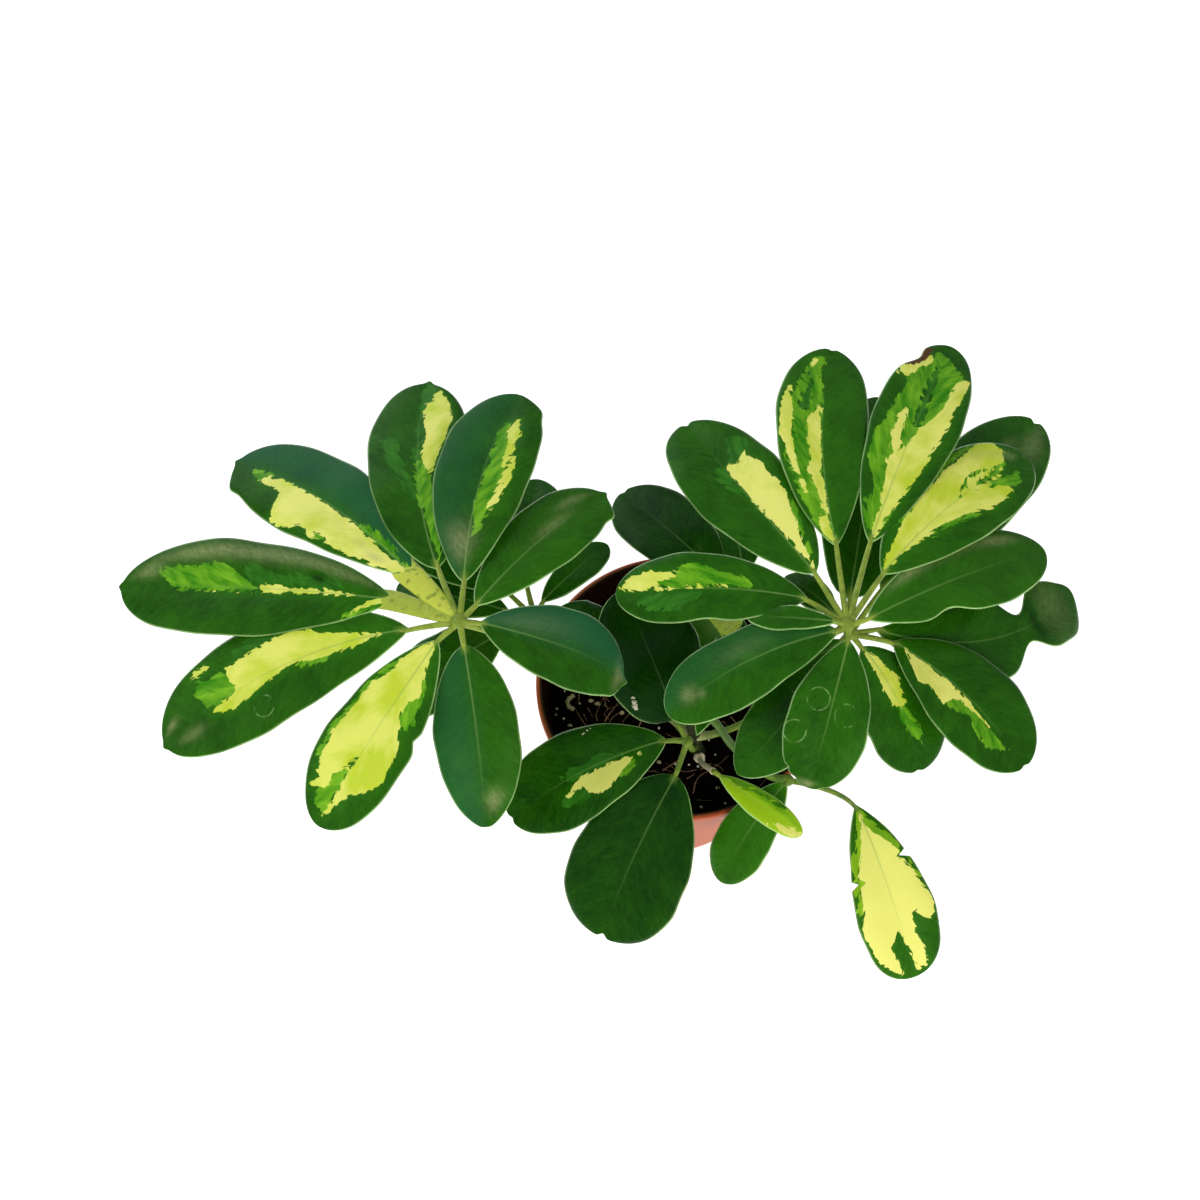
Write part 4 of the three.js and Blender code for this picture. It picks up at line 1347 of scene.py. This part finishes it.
LEAVES = (
    CompoundLeaf("leaf_top_left", (-82, -17, 190), 115,
        ((-5, -24, 118), (-17, -17, 124), (-29, -14, 133), (-56, -15, 166)), (
        Leaflet(169.6, 130, 18, 26, -11.6, 38, bend=-0.5, roll=-6, notch=-1.2, wing=5, pale=0.5,
            painted_lights=((0.18, -0.7, 0.13, 0.2, 0.3), (0.42, -0.74, 0.17, 0.15, 0.45),
            (0.7, -0.72, 0.17, 0.15, 0.55), (0.9, -0.45, 0.05, 0.2, 0.45), (0.27, -0.36, 0.018, 0.12, -1.2)),
            flames=(
            fern((17, -35, -6), (22, -42, -6), (30, -38, -8), (38, -35, -10), (46, -42, -10), (53, -55, -12)),
            lime((1, 20, 60), (5, 30, 85), (10, 55, 95), (15, 80, 98)),
            cream((1, 10, 40), (5, 12, 45), (9, 35, 60), (12, 60, 80)),
            cream((12, -2, 8), (20, -8, 3), (27, -10, 4), (33, -3, 8), (40, -10, 10), (44, -10, 10), (50, 0, 8),
                (66, 6, 9)),
            lime((48, -5, 5), (53, -15, 5), (58, -35, 8), (62, -48, 8), (70, -45, 8), (78, -45, 7),
                (81, -40, -5), (85, -45, -30)),
        )),
        Leaflet(198.6, 111, 28, 18, -14.6, 39, bend=-6.5, arch=4, roll=-6, tone=0.35, notch=-1.0,
            rings=((0.59, 0.55),), bleach=-0.3, painted_lights=((0.89, 0.28, 0.05, 0.14, 0.4),
            (0.94, -0.38, 0.03, 0.12, 0.5)), flames=(
            fern((48, -78, -50), (62, -75, -45)),
            lime((30, 12, 27), (42, 8, 20)),
            cream((10, -5, 5), (15, -12, 20), (20, -20, 22), (25, -30, 20), (30, -38, 20), (33, -50, 15),
                (37, -58, 12), (42, -62, 8), (50, -55, 10), (55, -52, 15), (58, -50, 22), (65, -48, 28),
                (68, -50, 30), (69, 0, 32), (70, 5, 32), (73, 5, 27), (76, 3, 20), (78, 10, 20)),
            lime((66.5, -8, 0), (69, -48, 3), (74, -50, 2), (78, -60, 2), (80, -60, 0), (81, -50, -40)),
            cream((72.5, -75, -70), (75, -85, -68), (78, -88, -72), (80, -83, -70)),
        )),
        Leaflet(231.7, 80, 32, 9.5, -13.7, 33, bend=1, arch=4, tone=0.35, bleach=-0.35,
            nicks=(Nick(0.43, 1, 0.12, 0.03),), flames=(
            lime((18, 28, 60), (25, 30, 70), (40, 28, 68)),
            lime((15, -85, -70), (35, -88, -75), (60, -90, -75), (75, -85, -68)),
            cream((2, -70, 35), (10, -75, 30), (15, -75, 38), (20, -70, 50), (28, -75, 52), (29, -80, 30),
                (38, -80, 30), (39, -80, 50), (45, -78, 55), (50, -80, 65), (55, -80, 72), (60, -80, 75),
                (65, -75, 80), (70, -75, 70), (75, -70, 50), (80, -70, 30), (85, 5, 20), (90, 5, 18), (94, 0, 8)),
            lime((58, -5, -2), (65, -10, -3), (70, -12, 0), (74, -22, 0), (77, -38, 0), (80, -25, 0),
                (85, -50, 3), (92, -50, 0)),
            cream((78, -40, -28), (80, -55, -25), (84, -70, -35), (86, -85, -70)),
        )),
        Leaflet(278, 63, 38, 7.5, 4, 30, bend=1, arch=4, widest=0.5, blunt=0.64, tone=0.4, notch=0.7, cool=-0.4,
            painted_lights=((0.84, 0.36, 0.06, 0.28, 0.5),)),
        Leaflet(350, 59, 18, 7, 10, 29, roll=6, notch=-1.5, cool=0.7, hook=-4.5,
            nicks=(Nick(0.95, -1, -0.12, 0.04),), painted_lights=((0.3, 0.4, 0.25, 0.3, 0.16),
            (0.95, -0.1, 0.03, 0.6, 0.4))),
        Leaflet(49.3, 77, 10, 8, 0, 28, bend=1.5, tone=0.52, notch=-1.5, nicks=(Nick(0.94, -1, -0.3, 0.05),),
            painted_lights=((0.62, 0.1, 0.13, 0.13, 0.35), (0.82, 0.4, 0.1, 0.14, 0.4))),
        Leaflet(79.8, 101, 3, 15, 7.2, 36, bend=4, arch=4, cool=0.4, nicks=(Nick(0.95, -1, -0.2, 0.05),),
            painted_lights=((0.17, 0.25, 0.08, 0.45, 0.55),), flames=(
            lime((20, -15, -5), (22, -30, -10), (30, -35, -3), (40, -45, -3), (50, -45, -3), (60, -45, -3),
                (70, -40, -3), (78, -30, -3), (82, -15, -5)),
            cream((33.5, -45, -35), (38, -50, -33), (43, -55, -40), (50, -60, -40), (55, -60, -42),
                (58, -57, -50), (63, -55, -50)),
            cream((57, -40, -33), (62, -45, -33), (68, -48, -30), (74, -50, -20), (78, -50, -20),
                (80, -42, -22), (84, -38, -30)),
        )),
        Leaflet(99.7, 110, 8, 23, 13.3, 38, bend=5.5, arch=2, blunt=0.44, tone=0.25, notch=-1.6, flames=(
            lime((3, -40, -20), (10, -50, -20), (20, -45, -15), (30, -40, 0), (40, -30, 5), (48, -25, 5),
                (56, -15, 8)),
            fern((35, 5, 20), (45, 10, 35), (52, 25, 50), (58, 40, 65), (63, 40, 72), (67, 50, 70)),
            fern((56, -8, 6), (70, -10, 6), (82, -12, 6), (90, -28, 8), (98, -35, 10)),
            cream((48, -30, -22), (52, -35, -15), (56, -38, -5), (60, -42, -10), (63, -50, -12), (67, -57, -20),
                (73, -65, -12), (78, -70, -8), (83, -70, -5), (88, -70, -8), (89, -68, -25), (93, -65, -30),
                (95, -60, -40)),
        )),
        Leaflet(140.5, 117, 12, 27, -7, 37, bend=-4.5, tone=0.25, notch=-1.2, wing=6, pale=1.0, cool=-0.6,
            bleach=0.1, painted_lights=((0.15, 0.54, 0.04, 0.16, 0.6), (0.24, 0.4, 0.03, 0.1, 0.4)),
            nicks=(Nick(0.95, 1, -0.25, 0.05),), flames=(
            lime((2, -25, 10), (20, -25, 8), (30, -10, 4)),
            cream((2, 10, 90), (10, 12, 85), (20, 10, 85), (30, 6, 85), (37, 4, 80), (44, 3, 90), (47, 2, 75),
                (52, 2, 75), (55, 2, 90), (60, 2, 95), (65, 2, 93), (67, 2, 85), (69, 3, 60), (70, 3, 35),
                (75, 3, 28), (80, 3, 35), (83, 8, 30)),
            lime((75, -2, 5), (82, 0, 10), (84, 3, 35), (87, 2, 30), (90, 0, 15)),
            lime((37, 68, 82), (40, 68, 86), (43, 70, 84)),
        )),
    )),
    CompoundLeaf("leaf_low_left", (-58, 4, 150), 106, ((-7, -18, 109), (-22, -8, 114), (-40, -2, 128)), (
        Leaflet(51, 44, 2, 7, 20, 14.5, arch=2, tone=0.2),
        Leaflet(91, 65, 2, 15, 14, 25, tone=0.25),
        Leaflet(141, 77, 7, 16, -8, 26, tone=0.15),
        Leaflet(160, 60, 12, 11, 0, 20, arch=2, tone=0.15),
        Leaflet(204, 60, 25, 12, -8, 31, tone=0.35),
        Leaflet(8, 30, 10, 5, 0, 15, arch=2, tone=0.15),
    )),
    CompoundLeaf("leaf_top_right", (54, -16, 185), 146, ((14, -27, 158), (34, -23, 174)), (
        Leaflet(120, 107, 9, 23, -6, 39, bend=1.5, blunt=0.46, tone=0.36, notch=1.5, bleach=0.55, flames=(
            lime((8, -50, -40), (15, -55, -42), (20, -60, -48), (28, -72, -55), (36, -75, -60)),
            cream((3, -40, -10), (10, -38, -10), (18, -42, -8), (23, -55, -7), (27, -60, -5), (33, -62, -3),
                (37, -68, -3), (41, -72, -2), (46, -70, -2), (50, -65, -2), (58, -65, -2), (63, -60, -2),
                (66, -55, -3), (68, -55, -15), (70, -62, -35), (72, -60, -50)),
            fern((40, 0, 5), (47, 0, 12), (53, 0, 20), (60, 0, 25), (66, 0, 25), (68, 0, 10)),
            fern((66, -30, -20), (70, -60, -20), (74, -80, -30), (78, -80, -40), (82, -55, -45)),
        )),
        Leaflet(87.3, 125, 3, 32, 5, 36, bend=5, tone=0.47, notch=1.0, flames=(
            lime((3, 5, 85), (20, 5, 80), (30, 5, 80), (40, 3, 85), (50, 3, 60), (60, 2, 75), (70, 2, 75),
                (78, 5, 60), (85, 20, 55), (90, 10, 60), (94, 10, 50)),
            cream((2, 5, 75), (8, 5, 70), (12, 10, 70)),
            cream((24, 60, 65), (30, 62, 70), (35, 60, 78), (45, 65, 85), (50, 65, 95), (58, 65, 93),
                (65, 68, 90), (74, 75, 82)),
            cream((12, 5, 25), (25, 5, 25), (33, 10, 40), (40, 5, 30), (50, 3, 30), (56, 3, 35), (62, 3, 20),
                (66, 0, 10)),
            cream((87, 40, 50), (91, 38, 55)),
            fern((64, 30, 55), (72, 25, 45), (80, 30, 45), (85, 45, 55)),
        )),
        Leaflet(67, 137, 3, 35, 4.5, 34, bend=1, arch=4, scorch=True, nicks=(Nick(0.88, 1, 0.25, 0.05),),
            flames=(
            lime((5, -35, 85), (15, -40, 80), (20, -45, 55), (30, -55, 75), (35, -60, 85), (45, -60, 85),
                (50, -60, 70), (65, -70, 60), (75, -75, 60), (80, -80, 75), (85, -70, 60), (90, -30, 40),
                (93, -10, 40)),
            cream((3, -35, 20), (10, -35, 25), (13, -40, 10), (20, -45, 20), (30, -55, 30), (35, -60, 33),
                (38, -60, 30), (40, -60, 10), (45, -60, 0), (50, -65, -10), (55, -68, -15), (60, -70, -30),
                (65, -72, -40), (70, -78, -45), (75, -80, -50), (80, -85, -55), (83, -90, -70)),
            cream((40, 10, 35), (48, 20, 45), (55, 22, 45), (60, 30, 40)),
            cream((76, 60, 90), (80, 55, 95), (85, 45, 85), (90, 40, 60)),
            fern((54, -10, 6), (62, -14, 8), (72, -6, 14), (82, 0, 12), (88, 4, 10)),
        )),
        Leaflet(44.4, 107, 5, 25, 10.6, 36, bend=3, tone=0.35, notch=2.2, bleach=-0.3,
            painted_lights=((0.8, 0.62, 0.06, 0.16, 0.4), (0.88, 0.42, 0.05, 0.14, 0.4), (0.93, 0.2, 0.03, 0.12, 0.3)),
            flames=(
            lime((20, 55, 62), (30, 55, 65), (50, 62, 75), (62, 70, 85), (75, 80, 95), (85, 90, 100)),
            lime((30, -30, -20), (40, -40, -25), (48, -50, -35), (55, -60, -50)),
            cream((2, -15, 55), (10, -12, 50), (22, -20, 55), (30, -20, 55), (40, -25, 60), (45, -30, 60),
                (50, -40, 62), (55, -45, 65), (60, -60, 68), (70, -60, 70), (75, -62, 75), (78, -60, 80),
                (79, -40, 80), (80, -15, 85), (83, 0, 90), (87, 10, 100), (90, 50, 100)),
            lime((55, 0, 8), (62, 10, 20), (68, 12, 28), (75, 20, 30)),
            lime((60, -5, 0), (70, -10, 5), (80, -5, 10), (87, 5, 20)),
            lime((70, -30, -15), (75, -30, -10), (80, -50, -15), (85, -60, -30), (88, -40, -25)),
        )),
        Leaflet(25, 87, 11, 7.5, -8, 30, bend=1, roll=4, tone=0.55, nicks=(Nick(0.37, -1, 0.3, 0.09),),
            painted_lights=((0.28, 0.75, 0.11, 0.16, 0.45), (0.52, 0.72, 0.14, 0.14, 0.6),
            (0.78, 0.64, 0.09, 0.14, 0.55))),
        Leaflet(168.4, 83, 9, 17, -28, 28.5, bend=-2, roll=-5, tone=0.25, nicks=(Nick(0.5, 1, 0.14, 0.13),),
            flames=(
            lime((30, -30, -10), (35, -42, -10), (45, -50, -10), (50, -60, -12), (62, -65, -8), (66, -60, -5),
                (70, -30, -5), (80, -30, -10)),
            fern((52, 5, 10), (56, 8, 30), (65, 12, 55), (70, 12, 65), (73, 10, 60), (80, 10, 70), (84, 15, 60),
                (87, 30, 55)),
            cream((40, -6, -2), (47, -10, -2), (52, -12, -2), (58, -8, 0), (72, -5, 0), (78, -10, 2)),
            cream((67, -40, -33), (70, -48, -28), (78, -55, -25), (80, -60, -25), (82, -60, 0), (88, -65, -3),
                (92, -68, -10), (95, -60, -20), (97, -50, -35)),
        )),
        Leaflet(172, 35, 5, 4, 8, 10, arch=1, tone=0.35, lift=2.2),
        Leaflet(203, 68, 19, 4, 10, 28, bend=-4, roll=-5, tone=0.35, cool=-0.3,
            nicks=(Nick(0.55, -1, 0.14, 0.15),), painted_lights=((0.5, -0.4, 0.14, 0.25, 0.13),
            (0.85, -0.1, 0.045, 0.26, 0.42), (0.79, 0.12, 0.02, 0.12, 0.35))),
        Leaflet(255.3, 53, 25, 5, 16, 29, tone=0.35, rings=((0.42, -0.38), (0.48, 0.4), (0.66, -0.72)),
            nicks=(Nick(0.9, -1, 0.09, 0.014), Nick(0.955, -1, 0.16, 0.012), Nick(0.98, 1, 0.2, 0.01)),
            painted_lights=((0.97, -0.3, 0.02, 0.5, 0.6),)),
    )),
    CompoundLeaf("leaf_low_right", (59, -10, 166), 113, ((10, -30, 115), (22, -28, 121), (39, -22, 141)), (
        Leaflet(300, 51, 26, 6, 12, 32, bend=3, tone=0.25, notch=0.8, flames=(
            lime((33, -15, -5), (42, -12, 0), (50, -10, 5), (55, -10, 12), (65, -8, 20), (70, -2, 27),
                (75, 5, 28), (78, 10, 20)),
            cream((5, -25, 5), (10, -25, 20), (20, -23, 25), (30, -22, 30), (35, -22, 35), (38, -22, 22),
                (45, -20, 18), (53, 5, 12)),
        )),
        Leaflet(322.6, 77, 14, 16, 28.4, 35.5, bend=3, tone=0.25, notch=0.8, bleach=0.25, flames=(
            lime((44, -50, -20), (48, -45, -15), (52, -40, -15), (58, -25, -12), (63, -40, -15), (68, -48, -15),
                (78, -50, -12), (82, -40, -15), (85, -25, -18)),
            cream((8, -10, 0), (10, -20, -2), (13, -35, -3), (17, -45, -3), (20, -58, -4), (24, -65, -4),
                (28, -58, -5), (30, -45, -5), (35, -50, -5), (43, -55, -7), (44, -30, -7), (50, -20, -7),
                (58, -15, -8), (70, -18, -12)),
        )),
        Leaflet(17, 97, 20, 10, -6, 33, bend=-13, arch=0, roll=10, twist=15, pinch=0.64, tone=0.2,
            nicks=(Nick(0.97, 1, 0.12, 0.04), Nick(0.94, -1, -0.4, 0.07)), painted_lights=((0.86, 0.1, 0.08, 0.9, 0.2),
            (0.74, 0, 0.015, 0.9, -0.7))),
        Leaflet(49, 132, 6, 22, 5, 38, bend=-0.5, notch=2.0, painted_lights=((0.88, -0.4, 0.1, 0.3, 0.3),
            (0.8, 0.12, 0.05, 0.12, 0.3))),
        Leaflet(78, 117, 10, 14, 8, 33, widest=0.5, tone=0.2),
        Leaflet(126, 35, 8, 9, -8, 14, arch=2, tone=0.2),
        Leaflet(213, 32, 10, 4, 8, 14, arch=2),
        Leaflet(227.5, 61, 26, 8, 0, 27, bend=2, widest=0.52, blunt=0.6, tone=0.25,
            painted_lights=((0.28, 0.25, 0.1, 0.3, 0.5),)),
    )),
    CompoundLeaf("leaf_back", (26, 18, 137), 125, ((8, -14, 129), (17, 2, 135)), (
        Leaflet(131, 75, 7, 12, 0, 34, bend=1, tone=0.0, notch=1.0, painted_lights=((0.5, 0, 1.5, 3, -0.2),
            (0.3, -0.25, 0.1, 0.3, 0.25))),
        Leaflet(248, 59, 5, 8, 0, 15, arch=1, widest=0.42, blunt=0.8),
        Leaflet(95, 46, 5, 12, 0, 20, arch=2, tone=0.1),
        Leaflet(217, 27, 4, 3, 0, 19, arch=1, lift=1.5, tone=0.5, dry=-0.35, bleach=-0.6,
            painted_lights=((0.3, 0, 0.3, 1, 0.7),), flames=(
            cream((0, -95, 95), (58, -95, 95)),
        )),
    )),
    CompoundLeaf("leaf_front_low", (0.5, -37.5, 128), 103, ((3.5, -35.5, 114),), (
        Leaflet(201, 73, 16, 8, -25, 36, bend=-3, roll=-4, tone=0.05, notch=1.0, bleach=0.8,
            specks=((0.42, -0.78, 0.45), (0.41, -0.8, 0.35), (0.39, -0.85, 0.5), (0.37, -0.88, 0.3)), flames=(
            fern((27, 0, 10), (31, -12, 10), (36, -20, 10), (42, -22, 10), (48, -15, 10), (55, -20, 10),
                (62, -10, 10)),
            lime((22, 35, 52), (27, 40, 60), (30, 45, 56)),
            fern((52, 30, 55), (60, 30, 60), (65, 30, 58), (68, 30, 50)),
            cream((16, 20, 35), (20, 20, 30), (24, 15, 35), (30, 12, 45), (35, 10, 55), (38, 10, 63),
                (46, 10, 62), (50, 10, 52), (52, 10, 50), (53, 12, 30), (58, 18, 30), (64, 30, 38)),
        )),
        Leaflet(244, 75, 33, 13, 6, 46, bend=-1, arch=6, blunt=0.42, tone=0.0, notch=1.8,
            painted_lights=((0.5, 0, 1.5, 3, -0.3),)),
        Leaflet(117, 56, -30, 8, 8, 40, widest=0.48, tone=-0.2, painted_lights=((0.5, 0, 1.5, 3, -0.65),),
            specks=((0.28, 0.7, 0.9), (0.25, 0.74, 1.2), (0.22, 0.78, 1.3), (0.2, 0.8, 0.8))),
    ), shade=0.55),
    CompoundLeaf("leaf_front_right", (41, -47, 110), 140, ((10, -33, 138), (18, -39, 127), (33, -46, 113)), (
        Leaflet(233, 42, 27, 1, 0, 22, bend=-1.5, arch=4, tone=0.8),
        Leaflet(306.3, 85, 38, 29, 40.7, 33, bend=0.5, arch=4, widest=0.66, blunt=0.42, stalk_rise=12, tone=0.5,
            young=0.5, bleach=0.5, nicks=(Nick(0.335, 1, 0.3, 0.008), Nick(0.41, -1, 0.25, 0.008)), flames=(
            lime((25, -90, -70), (30, -95, -70), (40, -93, -75), (50, -90, -75), (55, -95, -85)),
            lime((37, 82, 95), (55, 88, 95)),
            lime((3, -40, 30), (8, -50, 45), (14, -62, 66), (20, -68, 82), (28, -76, 90), (34, -80, 84)),
            cream((5, -12, 6), (10, -25, 12), (15, -38, 22), (20, -50, 40), (26, -60, 66), (31, -70, 80),
                (37, -75, 75), (45, -75, 82), (52, -75, 85), (56, -80, 92), (60, -85, 93), (65, -95, 93),
                (70, -97, 88), (75, -93, 30), (80, -90, 35), (85, -85, 50), (90, -75, 55), (95, -60, 65)),
            green((65, 40, 50), (70, 30, 65), (73, 35, 95), (78, 35, 120), (85, 50, 120), (90, 60, 120),
                (95, 70, 120)),
            green((71, -10, -5), (75, -25, 0), (80, -38, 2), (85, -38, 7), (90, -40, 12), (95, -42, 20),
                (98, -40, 30)),
        )),
    ), petiole_radius=1.6, shade=0.6),
    CompoundLeaf("leaf_young", (11.5, -44, 112), 93, ((7.8, -35, 99),), (
        Leaflet(321, 42, -2, 3, -8, 12, bend=-0.5, arch=2, tone=1.0, ruffle=0.2, young=1.0, flames=(
            lime((0, -900, 900), (100, -900, 900)),
            fern((4, 20, 120), (15, 8, 120), (28, 22, 120), (36, 55, 120), (60, 66, 120), (80, 86, 120)),
            cream((70, -78, -56), (78, -66, -25), (86, -95, -15), (93, -98, 10), (98, -98, 20)),
        )),
    ), knob=(7.6, -32.8, 96.5, 2.5), hub_radius=1.3, petiole_radius=1.15, woody=0.8),
)


FIRST_SEED, SEEDS_A_LEAF = 20, 12  # the first leaflet's seed, and how many are set aside for each leaf


def main() -> None:
    """Builds every piece in order."""
    logging.basicConfig(level=logging.INFO, format="%(message)s")
    Studio().build()
    cuticle, skin = LeafCuticle().build(), PetioleSkin().build()
    peat = Grained("peat_damp", "#020101", "#160C07", 1.6, gloss=0.04).build()
    Pot().build(MouldedPolypropylene().build())
    soil, stem, dust = RootBall(), Stem(), Surface()
    soil.build(peat)
    soil.crumbs(peat)
    soil.roots(Grained("root_fibre_dry", "#6A4634", "#B08A6C", 1.2, 0.8).build())
    perlite = Grained("perlite_grain", "#D8D2C8", "#F2EEE8", 0.8).build()
    soil.chips(perlite, Grained("husk_flake", "#A89070", "#D8C8A8", 0.9).build())
    stem.build(YoungBark().build(), skin)
    for index, leaf in enumerate(LEAVES):
        leaf.build(stem, cuticle, skin, FIRST_SEED + SEEDS_A_LEAF * index, dust)
    settle(dust.to_object("leaf_specks", Grained("dried_water_crust", "#B8B496", "#DEDCC4", 0.7).build()), "leaf")


if __name__ == "__main__":
    main()
